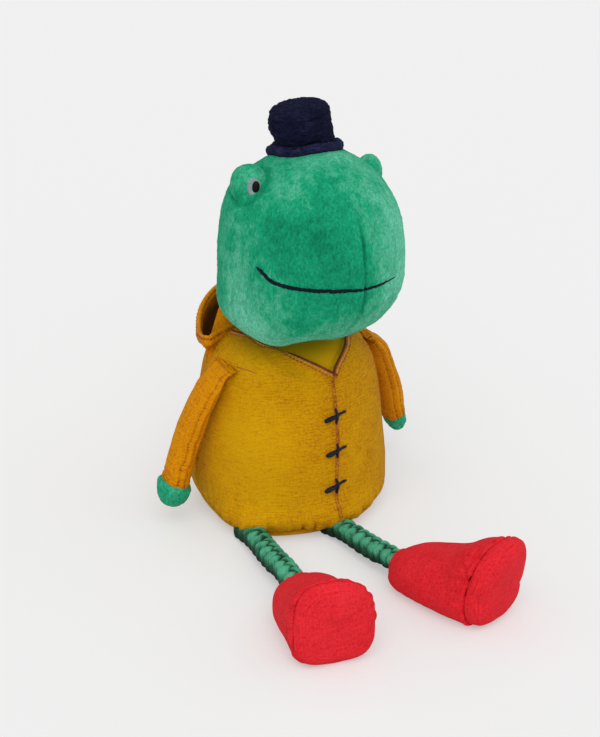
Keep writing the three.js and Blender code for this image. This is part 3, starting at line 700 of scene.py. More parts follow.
def coat_seams(grid):
    """Side seams, shoulder darts and the folds they pull, the neckline's step and the placket's ridge."""
    for side in (-1, 1):
        grid = groove(grid, spline(on_side(SIDE_SEAM, side), 30), 1.5, 1.0, 0.7)
        grid = groove(grid, spline(on_side(SHOULDER_DART, side), 14), 0.8, 0.9, 0.3)
        grid = groove(grid, spline(on_side(SIDE_FOLD, side), 14), 0.9, 3.0, 0.2)
    for line in (V_RIGHT, V_LEFT):
        grid = push(grid, ridge_near(grid, spline(line, 24), 1.9, 1.1))
    grid = push(grid, -1.9 * in_neckline(grid))
    grid = groove(grid, spline(CHEST_FOLD, 20), 0.8, 2.8, 0.3)
    placket = [(placket_x(h), -60, h) for h in np.linspace(PLACKET_TOP, PLACKET_FOOT, 30)]
    flat = grid.copy()
    flat[..., 1] = -60
    d = gap_to(flat, np.array(placket))
    return push(grid, (grid[..., 1] < 0) * (0.7 * np.exp(-(d / 2.0) ** 4) - 0.7 * bell(d, 0.6)))


def make_coat():
    grid = np.stack([coat_ring(h - COAT_SWELL, z) for h, z in spline(COAT_SIDE, COAT_ROWS)])
    held = held_ends(grid, 1, 2)
    for seam in on_side([SLEEVE_SEAM], -1) + [SLEEVE_SEAM]:
        held |= np.linalg.norm(grid - np.array(seam), axis=2) < 6
    above = smooth(grid[..., 2], 92, 100)
    grid = part_puffed(grid, COAT_SWELL, above, held=held, slack=0.05, cap=2.6, bend=0.35)
    grid = refine(grid, 3, 4)
    angle, z = front_angle(grid), grid[..., 2]
    grid = spread_hem(grid, bell(z - 9, 13))
    over_rope = bell(angle + 0.94, 0.3) + bell(angle + 0.06, 0.3)
    grid = push(grid, bell(z - 11, 7) * (2.0 * bell(angle + 0.1, 0.85) + 4.0 * over_rope))
    grid = push(grid, 0.9 * noise(grid, 30, 1) * smooth(z, 4, 24) + 0.25 * noise(grid, 9, 2) * smooth(z, 6, 20))
    return coat_seams(push(grid, hem_tucks(angle, grid[..., 2])))


def in_neckline(grid):
    """1 inside the V of the neckline, 0 outside it, with a narrow step between."""
    x, y, z = grid[..., 0], grid[..., 1], grid[..., 2]
    edges = []
    for line in (V_RIGHT, V_LEFT):
        line = spline(line, 60)
        order = np.argsort(line[:, 1])
        edges.append(np.interp(y, line[order, 1], line[order, 0]))
    right, left = edges
    inside = smooth(np.minimum(x - right, left - x), 0.8, 2.8)
    return inside * smooth(-y, -5, 4) * smooth(z, 92, 94)


coat_grid = make_coat()
coat_surface = surface_of(coat_grid)
coat = dress(skin("coat", coat_grid), "torso", COAT, "coat_canvas", "body_cover")


def shade_coat(grid):
    """Painted shade on the side turned from the light, on the right flank behind the sleeve, towards the hem and
    along the seams and placket; painted highlights where the cloth bulges towards the light and on the neckline's
    ridge; painted light inside the V of the neckline, where the head's shadow falls.
    """
    angle, z = front_angle(grid), grid[..., 2]
    # painted shade on the toy's left side, turned from the light, and on the right flank behind the sleeve
    amount = -0.55 * smooth(angle, 0.2, 1.3) * smooth(-angle, -2.9, -1.7) - 0.4 * bell(angle + 2.1, 0.55)
    # painted highlights where the cloth bulges towards the light
    amount += spots(grid, [(-45, -32, 60, 0.5, 24), (-30, -42, 30, 0.25, 24), (-8, -34, 102, 0.3, 18)])
    # painted light inside the V of the neckline under the head's shadow; painted shade near the floor and along
    # the base seam
    amount += 2.0 * in_neckline(grid) - 0.6 * bell(z, 8) - 0.6 * bell(z - SEAM_Z, 0.9)
    # painted highlight on the neckline ridge and painted shade beside it
    for line in (V_RIGHT, V_LEFT):
        d = gap_to(grid, spline(line, 24))
        amount += 0.5 * bell(d, 1.0) - 0.6 * bell(d, 3)
    # painted shade along the side seams
    for side in (-1, 1):
        amount -= ridge_near(grid, spline(on_side(SIDE_SEAM, side), 30), 0.9, 0.9)
    # painted shade along the placket
    x_off = np.abs(grid[..., 0] - placket_x(z))
    on_front = (grid[..., 1] < 0) * smooth(-z, -95, -92)
    return amount - on_front * (0.7 * bell(x_off, 1.3) + 0.3 * bell(x_off, 6))


shade(coat, shade_coat(coat_grid))


BASE_SIDE = [(30, 5.2), (50.5, 5.0), (53.3, 4.4), (54.2, 3.0), (52.6, 1.2), (48, 0.3), (30, 0.2), (4, 0.2)]


def make_base():
    grid = np.stack([coat_ring(h, z, 192) for h, z in spline(BASE_SIDE, 36)])
    grid = spread_hem(grid, smooth(np.hypot(grid[..., 0], grid[..., 1]), 25, 50))
    return push(grid, 0.35 * noise(grid, 7, 3) * smooth(grid[..., 2], 0.3, 2))


base = dress(skin("base_panel_cloth", make_base()), "torso", COAT, "coat_canvas", "base_panel")

# Stitches


def stitch_grids(path, norm, length=2.5, gap=0.6, radius=0.36, bury=0.12):
    """Short plump stitches laid end to end along a path on a surface."""
    s = run_along(path)
    plump = radius * np.array([0.5, 0.95, 1, 0.95, 0.5])
    rise = np.array([-0.9, 0.25, 0.5, 0.25, -0.9]) * radius - bury
    grids = []
    at = 0.0
    while at + length < s[-1]:
        t = np.linspace(at, at + length, 5)
        p, n = (np.stack([np.interp(t, s, line[:, k]) for k in range(3)], 1) for line in (path, norm))
        grids.append(tube(p + n * rise[:, None], plump, 7, up=n, round_ends=False))
        at += length + gap
    return grids


def beside(path, norm, offset):
    """A path moved sideways along its surface."""
    t = np.gradient(path, axis=0)
    side = np.cross(t, norm)
    side /= np.linalg.norm(side, axis=1, keepdims=True) + 1e-9
    return path + side * offset


def calm(path, times=8):
    """The same path without small jumps, its ends kept."""
    for _ in range(times):
        path = np.concatenate([path[:1], (path[:-2] + 2 * path[1:-1] + path[2:]) / 4, path[-1:]])
    return path


def coat_line(line, count):
    """A line on the coat without small jumps, and the normals along it."""
    path, norm = snap(coat_surface, spline(line, count), 0.0, COAT_INSIDE)
    return calm(path), calm(norm, 30)


def sewn_row(line, offset, **kind):
    """A row of stitches beside a line on the coat."""
    path, norm = snap(coat_surface, beside(*coat_line(line, 70), offset), 0.0, COAT_INSIDE)
    return stitch_grids(calm(path), calm(norm, 30), **kind)


def onto_front(x_of, top, foot, count=60):
    """Points of the coat's front where a line straight back meets it."""
    out = []
    for z in np.linspace(top, foot, count):
        hit = coat_surface.ray_cast(Vector((x_of(z), -90, z)), Vector((0, 1, 0)))
        out.append(np.array(hit[0]))
    return np.array(out)


def seam_cord(line, offset, radius, count=90):
    """One unbroken sewn line beside a line on the coat."""
    on, up = snap(coat_surface, beside(*coat_line(line, count), offset), 0.25 * radius, COAT_INSIDE)
    thick = radius * (1 + 0.12 * np.sin(np.arange(count) * 1.9))
    return tube(calm(on, 12), thick, 8, up=calm(up, 30), flat=0.7)


def sew_neckline():
    cords, outer_rows, ridge_rows = [], [], []
    for line, outward in ((V_RIGHT, 1), (V_LEFT, -1)):
        cords.append(seam_cord(line, -1.4 * outward, 0.8))
        outer_rows += sewn_row(line, 1.8 * outward, length=2.2, gap=0.15, radius=0.42)
        ridge_rows += sewn_row(line, 0.2 * outward, length=1.4, gap=0.5, radius=0.46)
    dress(skin("neckline_seam", *cords), "torso", SEAM, "rust_thread", "neckline_stitching")
    dress(skin("neckline_stitches", *outer_rows), "torso", RUST, "rust_thread", "neckline_stitching")
    dress(skin("neckline_ridge_stitches", *ridge_rows), "torso", PALE, "rust_thread", "neckline_stitching")


def sew_coat():
    darts = [seam_cord(on_side(SHOULDER_DART, side), 0.0, 0.24, 30) for side in (-1, 1)]
    dress(skin("shoulder_dart_seams", *darts), "torso", RUST, "rust_thread")
    rows = []
    for offset in (-1.0, 1.0):
        path = onto_front(lambda z: placket_x(z) + offset, PLACKET_TOP - 1.5, PLACKET_FOOT)
        rows += stitch_grids(*snap(coat_surface, path, 0.0, COAT_INSIDE), length=2.4, gap=0.35, radius=0.36)
    dress(skin("placket_stitches", *rows), "torso", RUST, "rust_thread", "placket_stitching")


sew_neckline()
sew_coat()

# Toggles

TOGGLE_Z = (71, 51, 30)
TOGGLE_LOBE = [(-6.6, -1.6), (-3, -0.8), (0.4, 0.2)]
TOGGLE_TIP = [(0.2, 0.2), (3, 0.8), (6.6, 1.5)]
TOGGLE_TIE = [(-0.2, -4.0), (0.1, -1.2), (0.2, 1.4), (-0.2, 3.9)]


def make_toggle(z, number):
    """An embroidered toggle: a fat lobe that tapers to a tip, with one thread tied over it."""
    x = placket_x(z)
    middle, norm = snap(coat_surface, onto_front(lambda _: x, z, z, 1), 0.0, COAT_INSIDE)
    middle, norm = middle[0], norm[0]
    right = np.cross(norm, [0, 0, 1.0])
    right = right / np.linalg.norm(right) * (-1 if right[0] < 0 else 1)
    up = np.cross(right, norm)
    up = up if up[2] > 0 else -up

    def on_coat(points, lift):
        on, n = snap(coat_surface, np.array([middle + right * a + up * b for a, b in points]), 0.0, COAT_INSIDE)
        return on + n * np.broadcast_to(lift, len(on))[:, None]
    lobe = np.interp(np.linspace(0, 1, 26), [0, 0.2, 0.6, 1], [1.5, 1.85, 1.55, 1.0])
    wraps = 1 + 0.06 * np.cos(np.linspace(0, 14 * math.pi, 26))
    tip = np.interp(np.linspace(0, 1, 18), [0, 0.6, 0.85, 1], [0.85, 0.7, 0.85, 0.6])
    tie_lift = np.interp(np.linspace(0, 1, 20), [0, 0.3, 0.55, 0.8, 1], [0.2, 1.6, 2.0, 1.2, 0.2])
    obj = skin(f"toggle_{number}_embroidery",
               tube(on_coat(spline(TOGGLE_LOBE, 26), 0.9), lobe * wraps, 12, flat=0.75),
               tube(on_coat(spline(TOGGLE_TIP, 18), 0.55), tip, 8),
               tube(on_coat(spline(TOGGLE_TIE, 20), tie_lift), 0.75, 8))
    dress(obj, "torso", NAVY, "navy_thread", f"toggle_{number}")


for number, z in enumerate(TOGGLE_Z, 1):
    make_toggle(z, number)

# Head

HEAD_CENTRE = np.array([0, -20.5, 164.5])
HEAD = dict(half=48, front=56.5, back=45, crown=53, chin=51)
HEAD_TAPER = 0.05
CHIN_SHIFT = np.array([-5.5, 3.4, 0])
HEAD_ROWS, HEAD_COLS = 56, 84


def head_point(angle, up, out=0.0):
    """Points of the head at angles round from the front, positive towards +X, and heights from -1 to 1."""
    angle, up = np.broadcast_arrays(np.asarray(angle, float), np.asarray(up, float))
    power = np.where(up > 0, 2.5, 2.9)
    flat = (1 - np.minimum(1, np.abs(up)) ** power) ** (1 / power)
    taper = 1 - HEAD_TAPER * up
    reach = np.where(np.cos(angle) > 0, HEAD["front"], HEAD["back"])
    tall = np.where(up > 0, HEAD["crown"], HEAD["chin"])
    points = np.stack([
        HEAD_CENTRE[0] + (HEAD["half"] + out) * flat * taper * rounded(np.sin(angle), 2.35),
        HEAD_CENTRE[1] - (reach + out) * flat * taper * rounded(np.cos(angle), 2.35),
        HEAD_CENTRE[2] + (tall + out) * up,
    ], -1)
    return lean_chin(points)


def lean_chin(points):
    """The head's lower part hangs a little towards its right side."""
    up = (points[..., 2] - HEAD_CENTRE[2]) / HEAD["chin"]
    return points + CHIN_SHIFT * smooth(-up, 0.22, 0.88)[..., None]


PADS = {"right": np.array([-36.6, -20.6, 204.7]), "left": np.array([39.4, -21.6, 197.6])}
MOUTH = [
    (-1.21, 0.05), (-1.12, -0.008), (-1.03, -0.058), (-0.85, -0.088), (-0.6, -0.104), (-0.3, -0.13), (0, -0.156),
    (0.2, -0.153), (0.42, -0.128),
]
FACE_BULGES = [
    (-45, -15, 196, 2.4, 13), (-42, -4, 204, 1.0, 11), (44, -15, 189, 1.6, 12), (4, -66, 116, -2.0, 18),
    (-38, -40, 121, 1.6, 15), (47, -32, 138, -1.8, 15), (-46, -36, 142, -1.2, 13), (0, -52, 216, 1.0, 16),
    (-18, -52, 117, -4.0, 11), (-17, 6, 212, -3.0, 13), (-2, -36, 217, 2.2, 10), (12, -38, 216.5, 1.0, 10),
]
# patches of brushed pile and painted sheen and shade, each given by x, y, z, strength and radius
PILE_AND_SHEEN_SPOTS = [
    (36, -60, 168, 1.0, 36), (30, -60, 138, 0.6, 26), (-46, -36, 122, 1.3, 24), (-28, -54, 118, 0.5, 16),
    (-47, -30, 146, 0.3, 14), (-2, -44, 216, 0.3, 24), (-30, -50, 205, 0.3, 12), (-22, -68, 182, -0.4, 30),
    (-6, -74, 168, -0.2, 16), (-24, -62, 140, -0.2, 18), (-10, -66, 122, 0.35, 20), (-48, -24, 170, 0.2, 20),
]


def mouth_line(count):
    guide = spline(MOUTH, count)
    return head_point(guide[:, 0], guide[:, 1])


def make_head():
    tilt = np.linspace(-math.pi / 2 + 0.05, math.pi / 2 - 0.05, HEAD_ROWS)
    up = rounded(np.sin(tilt), 2.5)
    angle = np.linspace(0, TAU, HEAD_COLS, endpoint=False)
    grid = head_point(angle[None, :], up[:, None], -1.5)
    low = smooth(-grid[..., 2], -132, -122)
    grid = part_puffed(grid, 1.5, low, held=held_ends(grid, 2), slack=0.035, cap=2.4, bend=1.5)
    grid = refine(grid, 3, 4)
    grid = push(grid, 0.9 * noise(grid, 34, 7) + 0.3 * noise(grid, 12, 8))
    for x, y, z, rise, reach in FACE_BULGES:
        grid = push(grid, rise * spot(grid, (x, y, z), reach))
    grid = groove(grid, face_seam(), 1.5, 0.8, 0.5)
    for side in (-1, 1):
        grid = groove(grid, side_seam(side), 1.1, 0.9, 0.4)
    grid = groove(grid, mouth_line(60), 1.1, 1.3, 0.3)
    for pad in PADS.values():
        grid = push(grid, -0.9 * bell(np.linalg.norm(grid - pad, axis=2) - 12, 2.2))
    return push(grid, 0.2 * noise(grid, 1.1, 9) + 0.2 * noise(grid, 2.3, 10))


def face_seam():
    return head_point(0, np.linspace(0.86, -0.9, 40))


def side_seam(side):
    return head_point(side * np.linspace(1.62, 1.5, 40), np.linspace(0.78, -0.93, 40))


def shade_head(grid):
    """Lighter and darker pile: patches partly brushed pile and partly painted sheen and highlight where the light
    falls, and painted shade along the seams and in the crease round each eye pad.
    """
    amount = spots(grid, PILE_AND_SHEEN_SPOTS) + 0.2 * noise(grid, 16, 91) + 0.25 * noise(grid, 4, 92)
    # painted shade along the side seams and the face seam, and in the crease round each eye pad
    for side in (-1, 1):
        amount -= ridge_near(grid, side_seam(side), 0.9, 0.6)
    amount -= ridge_near(grid, face_seam(), 0.85, 1.9) * smooth(-grid[..., 2], -196, -176)
    for pad in PADS.values():
        amount -= 0.5 * bell(np.linalg.norm(grid - pad, axis=2) - 11.5, 1.6)
    return amount


head_grid = make_head()
head_surface = surface_of(head_grid)
head = dress(skin("head_plush", head_grid), "head", GREEN, "green_plush", "head_cover")
shade(head, shade_head(head_grid))


def make_mouth():
    path, norm = snap(head_surface, mouth_line(140), 0.25, HEAD_CENTRE)
    share = np.linspace(0, 1, len(path))
    radius = np.interp(share, [0, 0.03, 0.1, 0.6, 0.85, 1], [0.55, 1.1, 1.15, 1.0, 0.6, 0.15])
    radius = radius * (1 + 0.1 * np.sin(share * 210))
    grid = tube(path, radius, 10, up=norm, flat=0.8, twist=share * 60, ridges=3, ridge=0.1)
    dress(skin("mouth_embroidery", grid), "head", INK, "navy_thread", "mouth_thread")


make_mouth()


PAD_HALF = {"right": 10.3, "left": 12.6}


def make_pad(side, sign):
    """A sewn plush dome on the head's corner, flattened along its facing direction, with a painted highlight on
    its top.
    """
    centre = PADS[side]
    rows, cols = 30, 48
    tilt = np.linspace(-math.pi / 2 + 0.04, math.pi / 2 - 0.04, rows)
    angle = np.linspace(0, TAU, cols, endpoint=False)
    ball = np.stack([
        np.cos(tilt)[:, None] * np.sin(angle)[None, :] * PAD_HALF[side],
        -np.cos(tilt)[:, None] * np.cos(angle)[None, :] * 7.6,
        np.repeat(np.sin(tilt)[:, None], cols, 1) * 11.2,
    ], -1)
    grid = turned(ball, "Z", sign * 45) + centre
    grid = refine(grid, 3, 3)
    grid = push(grid, 0.5 * noise(grid, 9, 12) + 0.18 * noise(grid, 1.1, 13))
    pad = dress(skin(f"{side}_eye_pad", grid), "head", GREEN, "green_plush", f"{side}_eye_bump")
    # painted highlight on the top of the pad
    shade(pad, 0.5 * noise(grid, 8, 93) + 0.5 * spot(grid, PADS[side] + np.array([sign * 4, 0, 8]), 9))
    return grid


def oval(surface, centre, facing_deg, half_wide, half_high, rise, lift=0.0, rows=14, cols=40, tilt_deg=0.0):
    """A low domed oval laid on a surface, facing a direction, as embroidery stands off its cloth."""
    share = np.linspace(1, 0.04, rows)
    angle = np.linspace(0, TAU, cols, endpoint=False)
    x = half_wide * share[:, None] * np.cos(angle)[None, :]
    z = half_high * share[:, None] * np.sin(angle)[None, :]
    height = lift + rise * np.sqrt(1 - (share * 0.995) ** 2)[:, None] * np.ones((1, cols))
    flat = turned(turned(np.stack([x, 0 * x, z], -1), "Y", tilt_deg), "Z", facing_deg) + centre
    facing = turned(np.array([0, -1.0, 0]), "Z", facing_deg)
    depth = np.zeros(x.shape)
    for place in np.ndindex(x.shape):
        hit, _, _, reach = surface.ray_cast(Vector(flat[place] + facing * EYE_REACH), Vector(-facing))
        depth[place] = reach if hit else EYE_REACH
    depth = np.minimum(depth, depth[-1].mean() + 2.2)
    dome = flat + facing * (EYE_REACH - depth + height)[..., None]
    base_row = dome[:1] - facing * (lift + 0.9)
    return np.concatenate([base_row, dome])


EYE_TURN = {"right": 10, "left": 84}
EYE_REACH = 20.0
EYE_SHIFT = {"right": np.array([-0.2, 0, 0.8]), "left": np.array([-0.5, 6.5, -1.5])}


def make_eye(side, sign):
    surface = surface_of(make_pad(side, sign))
    turn = sign * EYE_TURN[side]
    centre = PADS[side] + EYE_SHIFT[side]
    white = oval(surface, centre, turn, 3.5, 4.9, 0.9, 0.3, tilt_deg=-sign * 8)
    dress(skin(f"{side}_eye_ring", white), "head", GREY, "eye_grey_thread", f"{side}_eye_white")
    aside = np.array([sign * -0.5, 0, 0.4])
    pupil = oval(surface, centre + aside, turn, 2.0, 3.1, 0.8, 1.0, tilt_deg=-sign * 8)
    dress(skin(f"{side}_eye_centre", pupil), "head", BLACK, "eye_black_thread", f"{side}_eye_pupil")


for side, sign in SIDES:
    make_eye(side, sign)

# Hat

HAT_FOOT = np.array([1.4, -15.6, 215.4])
HAT_LEAN = -7
HAT_COLS = 120
HAT_CROWN = [
    (14.6, -1.5), (15.6, 1), (15.8, 5), (16.2, 9), (17.0, 14), (17.0, 18), (16.4, 21.5), (15.0, 22.6), (12, 22.8),
]
HAT_TOP = [
    (9, 20.6), (15.4, 21.6), (16.4, 22.8), (15.9, 24.4), (13.6, 25.7), (9.5, 26.7), (4, 27.2), (0.6, 27.3),
]


def hat_place(grid):
    return turned(grid, "Y", HAT_LEAN) + HAT_FOOT


def hat_rings(profile, count):
    """Rings of radius and height about the hat's own axis, which slouches to one side half-way up."""
    grid = lathe(spline(profile, count), HAT_COLS)
    grid[..., 0] -= np.sin(grid[..., 2] / 27 * math.pi)
    return grid


def make_hat_part(name, grid, node):
    part = dress(skin(name, hat_place(grid)), "head", FLEECE, "navy_fleece", node)


def make_hat_crown():
    crown = hat_rings(HAT_CROWN, 60)
    angle, z = front_angle(crown), crown[..., 2]
    dent = -2.2 * bell(angle + 1.75, 0.5) * bell(z - 8, 4.0)
    bulge = 0.3 * bell(angle + 1.6, 0.6) * bell(z - 17, 4.0) + 1.7 * bell(angle - 1.3, 0.6) * bell(z - 7, 6.0)
    fold = -0.9 * bell(angle + 0.5, 0.8) * bell(z - 9 - 3 * angle, 1.6)
    crown = push(crown, dent + bulge + fold + 0.6 * noise(crown, 11, 21) + fuzz(crown, 22))
    make_hat_part("hat_crown_fleece", crown, "hat_crown")


def make_hat_top():
    top = hat_rings(HAT_TOP, 44)
    make_hat_part("hat_top_fleece", push(top, 0.6 * noise(top, 12, 24) + fuzz(top, 25)), "hat_top")


def make_hat_brim():
    roll = np.linspace(0, TAU, 27)[:-1]
    ring = np.stack([18.6 + 2.6 * np.cos(roll), 1.6 + 2.9 * np.sin(roll)], 1)
    brim = lathe(ring, 220).swapaxes(0, 1)
    angle = np.linspace(0, TAU, 220, endpoint=False)[:, None]
    droop = np.where(np.sin(angle) < 0, 5.0, 2.8) * np.sin(angle) ** 2
    brim[..., 2] += 0.5 * np.sin(angle * 2 + 0.6) + 0.3 * np.sin(angle * 3 + 2) - droop
    brim = push_ring(brim, 0.5 * noise(brim, 7, 27) + fuzz(brim, 28))
    obj = ring_skin("hat_brim_fleece", over_head(hat_place(brim)))
    dress(obj, "head", FLEECE, "navy_fleece", "hat_brim")
    shade(obj, np.full(brim.shape[:2], 0.45))


def over_head(ring):
    """Lifts the parts of a ring that would sink into the head until they lie on it."""
    lift = []
    for middle in ring.mean(1):
        hit, _, _, _ = head_surface.ray_cast(Vector(middle + np.array([0, 0, 60])), Vector((0, 0, -1)))
        lift.append(max(0.0, hit[2] + 1.7 - middle[2]) if hit else 0.0)
    lift = np.array(lift)
    for _ in range(12):
        lift = (np.roll(lift, 1) + 2 * lift + np.roll(lift, -1)) / 4
    return ring + lift[:, None, None] * np.array([0, 0, 1])


def fuzz(grid, seed):
    """The tufts of a nubby fleece."""
    return 0.35 * noise(grid, 2.8, seed) + 0.42 * noise(grid, 1.2, seed + 1)


def push_ring(grid, amount):
    """Moves a closed ring's surface away from the middle line of its tube."""
    middle = grid.mean(1, keepdims=True)
    out = grid - middle
    return grid + out / (np.linalg.norm(out, axis=2, keepdims=True) + 1e-9) * amount[..., None]


def ring_skin(name, grid):
    """A tube closed on itself: both directions run round."""
    closed = np.concatenate([grid, grid[:1]])
    verts, faces, uv = grid_parts(closed, caps=False)
    rows, cols = grid.shape[:2]
    faces = [tuple(i - rows * cols if i >= rows * cols else i for i in f) for f in faces]
    return face_out(new_object(name, verts[: rows * cols], faces, uv))


make_hat_crown()
make_hat_top()
make_hat_brim()

# Neck

NECK_SIDE = [(15, 102), (17, 104), (17.5, 107), (18.5, 110), (19.5, 113), (19, 117), (14, 120)]
NECK_MIDDLE = np.array([0, -3, 0])


def make_neck():
    grid = lathe(spline(NECK_SIDE, 24), 64) + NECK_MIDDLE
    grid = push(grid, 0.3 * noise(grid, 4, 31))
    return dress(skin("neck_plush", grid), "neck_link", GREEN, "green_plush", "neck")


make_neck()

# Hood

HOOD_MIDDLE = np.array([0, 6, 110.0])
HOOD_HALF = np.array([50, 49, 34.0])
HOOD_ANGLE = 1.53
HOOD_LOW = 90.0
HOOD_THICK = 1.6
HOOD_CUTS, HOOD_ROWS = 150, 34
HOOD_EDGE = ((-4, 108), (8, 106.8), (18, 104.2), (30, 103.2), (36, 106.2), (43, 112), (50, 119.6), (56, 123))


def hood_edge_z(y):
    """The height of the hood's edge: low over the shoulders, high behind the head."""
    return np.interp(y, [p[0] for p in HOOD_EDGE], [p[1] for p in HOOD_EDGE])


def hood_wall(angle, share, inset):
    """Bowl points: angle round from the back, share 0 on the edge to 1 at the bottom."""
    half = HOOD_HALF - inset

    def level(z):
        reach = np.sqrt(np.clip(1 - ((z - HOOD_MIDDLE[2]) / half[2]) ** 2, 0, 1))
        return half[0] * reach * np.sin(angle) + HOOD_MIDDLE[0], half[1] * reach * np.cos(angle) + HOOD_MIDDLE[1]
    z = np.full(np.broadcast(angle, share).shape, 112.0)
    for _ in range(12):
        top = hood_edge_z(level(z)[1])
        z = top + (HOOD_LOW - top) * share
    return np.stack([*level(z), z], -1)


def make_hood():
    """The hood's outer layer: a thin bowl that sags in soft folds and is dark inside from painted shade on its
    inner wall.
    """
    angle = np.linspace(-HOOD_ANGLE, HOOD_ANGLE, HOOD_CUTS)
    share = np.linspace(0, 1, HOOD_ROWS)
    drawn_back = 1 - 0.2 * share[None, :]
    outer = hood_wall(angle[:, None] * drawn_back[:, ::-1], share[None, ::-1], 0.0)
    inner = hood_wall(angle[:, None] * drawn_back, share[None, :], HOOD_THICK)
    loop = np.concatenate([outer, inner], 1)
    sag = 1.3 * np.sin(angle * 5)[:, None] * bell(share - 0.5, 0.35)[None, :]
    swell = np.concatenate([sag[:, ::-1], sag], 1) + 0.9 * noise(loop, 16, 41) + 0.3 * noise(loop, 6, 42)
    bowl = skin("hood_canvas", loop + unit(loop - HOOD_MIDDLE) * swell[..., None])
    dress(bowl, "hood", COAT, "coat_canvas", "hood")
    # painted shade down the inner wall, fading at the ends and at the bottom
    painted_inner_shade = (-0.5 - 2.2 * smooth(share, 0.05, 0.4)) * smooth(1 - share, 0.0, 0.1)
    away_from_ends = smooth(HOOD_ANGLE - np.abs(angle), 0.02, 0.2)[:, None]
    shade(bowl, np.concatenate([np.zeros((HOOD_CUTS, HOOD_ROWS)), away_from_ends * painted_inner_shade[None, :]], 1))


NEAR_FOOT = [
    (-46.8, 12.6, 89), (-45.4, 9.2, 92.5), (-41, 9.8, 97.6), (-36, 12.4, 102.6), (-27.6, 15.8, 106.6),
    (-15, 18.5, 108.4), (0, 19.5, 109.0),
]
NEAR_TOP = [
    (-47.8, 8.4, 107.4), (-41, 16.5, 108), (-34, 24, 112.4), (-29.4, 27.8, 116.6), (-26, 28.6, 119.2),
    (-22.8, 26.6, 120.6), (-17.5, 24.0, 120.4), (-10, 22.8, 119.4), (0, 22.4, 118.8),
]
RIM_FRONT = [(48.0, 7.4, 107.2), (44, 9.2, 107.6), (37, 11.8, 108), (28, 14.8, 108.4), (18, 17.2, 109)]


def mirrored(points, count):
    half = spline(points, count)
    return np.concatenate([half, half[-2::-1] * np.array([-1, 1, 1])])


def make_near_layer():
    """The hood's front layer, which rises from the neck seam and leaves a dark slot before the outer layer."""
    foot, top = mirrored(NEAR_FOOT, 60), mirrored(NEAR_TOP, 60)
    share = np.linspace(0, 1, 16)[None, :, None]
    wall = foot[:, None] * (1 - share) + top[:, None] * share
    wall[..., 2] += 1.4 * np.sin(share[..., 0] * math.pi)
    wall[..., 2] += 0.5 * noise(wall, 9, 44)
    under = wall[:, ::-1] - np.array([0, -0.5, 1.3])
    layer = skin("hood_inner_canvas", np.concatenate([wall, under], 1))
    dress(layer, "torso", HEM, "coat_canvas")


def make_hood_floor():
    """The bottom of the pouch between the two layers, in a near-black canvas that is painted shade."""
    near_side = mirrored(NEAR_TOP, 60) * np.array([1, 1, 0]) + np.array([0, -1.5, 101.0])
    angle = np.linspace(-HOOD_ANGLE, HOOD_ANGLE, len(near_side))
    far_side = hood_wall(angle, np.full_like(angle, 0.8), 3.4)
    share = np.linspace(0.32, 1, 8)[None, :, None]
    top = (near_side[:, None] * (1 - share) + far_side[:, None] * share)[10:-10]
    floor = skin("hood_pouch_bottom", np.concatenate([top, top[:, ::-1] - np.array([0, 0, 1.2])], 1))
    dress(floor, "hood", POUCH_SHADE_CANVAS, "coat_canvas")


def make_hood_rim():
    """The rolled and topstitched edge that runs round the opening of the hood."""
    angle = np.linspace(-HOOD_ANGLE, HOOD_ANGLE, 120)
    far = hood_wall(angle, np.zeros_like(angle), HOOD_THICK / 2) + np.array([0, 0, 0.6])
    front = spline([far[-1], *RIM_FRONT], 44)[2:]
    path = spline(np.concatenate([front[::-1] * np.array([-1, 1, 1]), far, front])[::4], 280)
    away = (path - HOOD_MIDDLE) * np.array([1, 1, 0])
    away /= np.linalg.norm(away, axis=1, keepdims=True)
    band = tube(path, 1.7, 28, up=np.array([0, 0, 1.0]), flat=1.9)
    band = push(band, 0.25 * noise(band, 5, 43))
    hem = skin("hood_rim_canvas", band)
    dress(hem, "hood", HEM, "coat_canvas", "hood_rim")
    row_line = bell(np.sin(np.linspace(0, TAU, 28, endpoint=False)) - 0.45, 0.2)
    right_side = smooth(-band.mean(1)[:, 0], -40, -20)
    shade(hem, -1.3 * right_side[:, None] * row_line[None, :])
    rows = []
    surface = surface_of(band)
    for lift in (-0.3, 1.5):
        row, norm = snap(surface, path + away * 3 + np.array([0, 0, lift]), 0.0)
        outward = np.sign((norm * away).sum(1))[:, None]
        rows += stitch_grids(row, norm * outward, length=2.2, gap=0.5, radius=0.3)
    dress(skin("hood_rim_stitches", *rows), "hood", RUST, "rust_thread")


make_near_layer()
make_hood_floor()
make_hood()
make_hood_rim()

# Sleeves and hands

SHOULDER = {"right": np.array([-50.5, -10, 99]), "left": np.array([50.3, -10, 99])}
SLEEVE_LEAN = {"right": 20, "left": 22}
SLEEVE_BACK = {"right": 8, "left": 12}


def hang(grid, side, sign):
    return turned(turned(grid, "X", SLEEVE_BACK[side]), "Y", -sign * SLEEVE_LEAN[side]) + SHOULDER[side]


ARM_TOP = 3.4
ARM_LENGTH = {"right": 80.5, "left": 79.4}
ARM_COLS = 56


def arm_bow(grid, side, sign):
    """Bows the hanging arm outwards, each as the photograph shows it."""
    share = np.clip((ARM_TOP - grid[..., 2]) / ARM_LENGTH[side], 0, 1.25)
    out = grid.copy()
    if side == "right":
        out[..., 0] += sign * (2.4 * np.sin(share * math.pi) - 0.2 * share ** 2)
    else:
        out[..., 0] += sign * (4.0 * np.sin(np.minimum(share, 1) * math.pi * 0.85) + 2.2 * share)
    out[..., 1] += 1.2 * np.sin(share * math.pi)
    return out


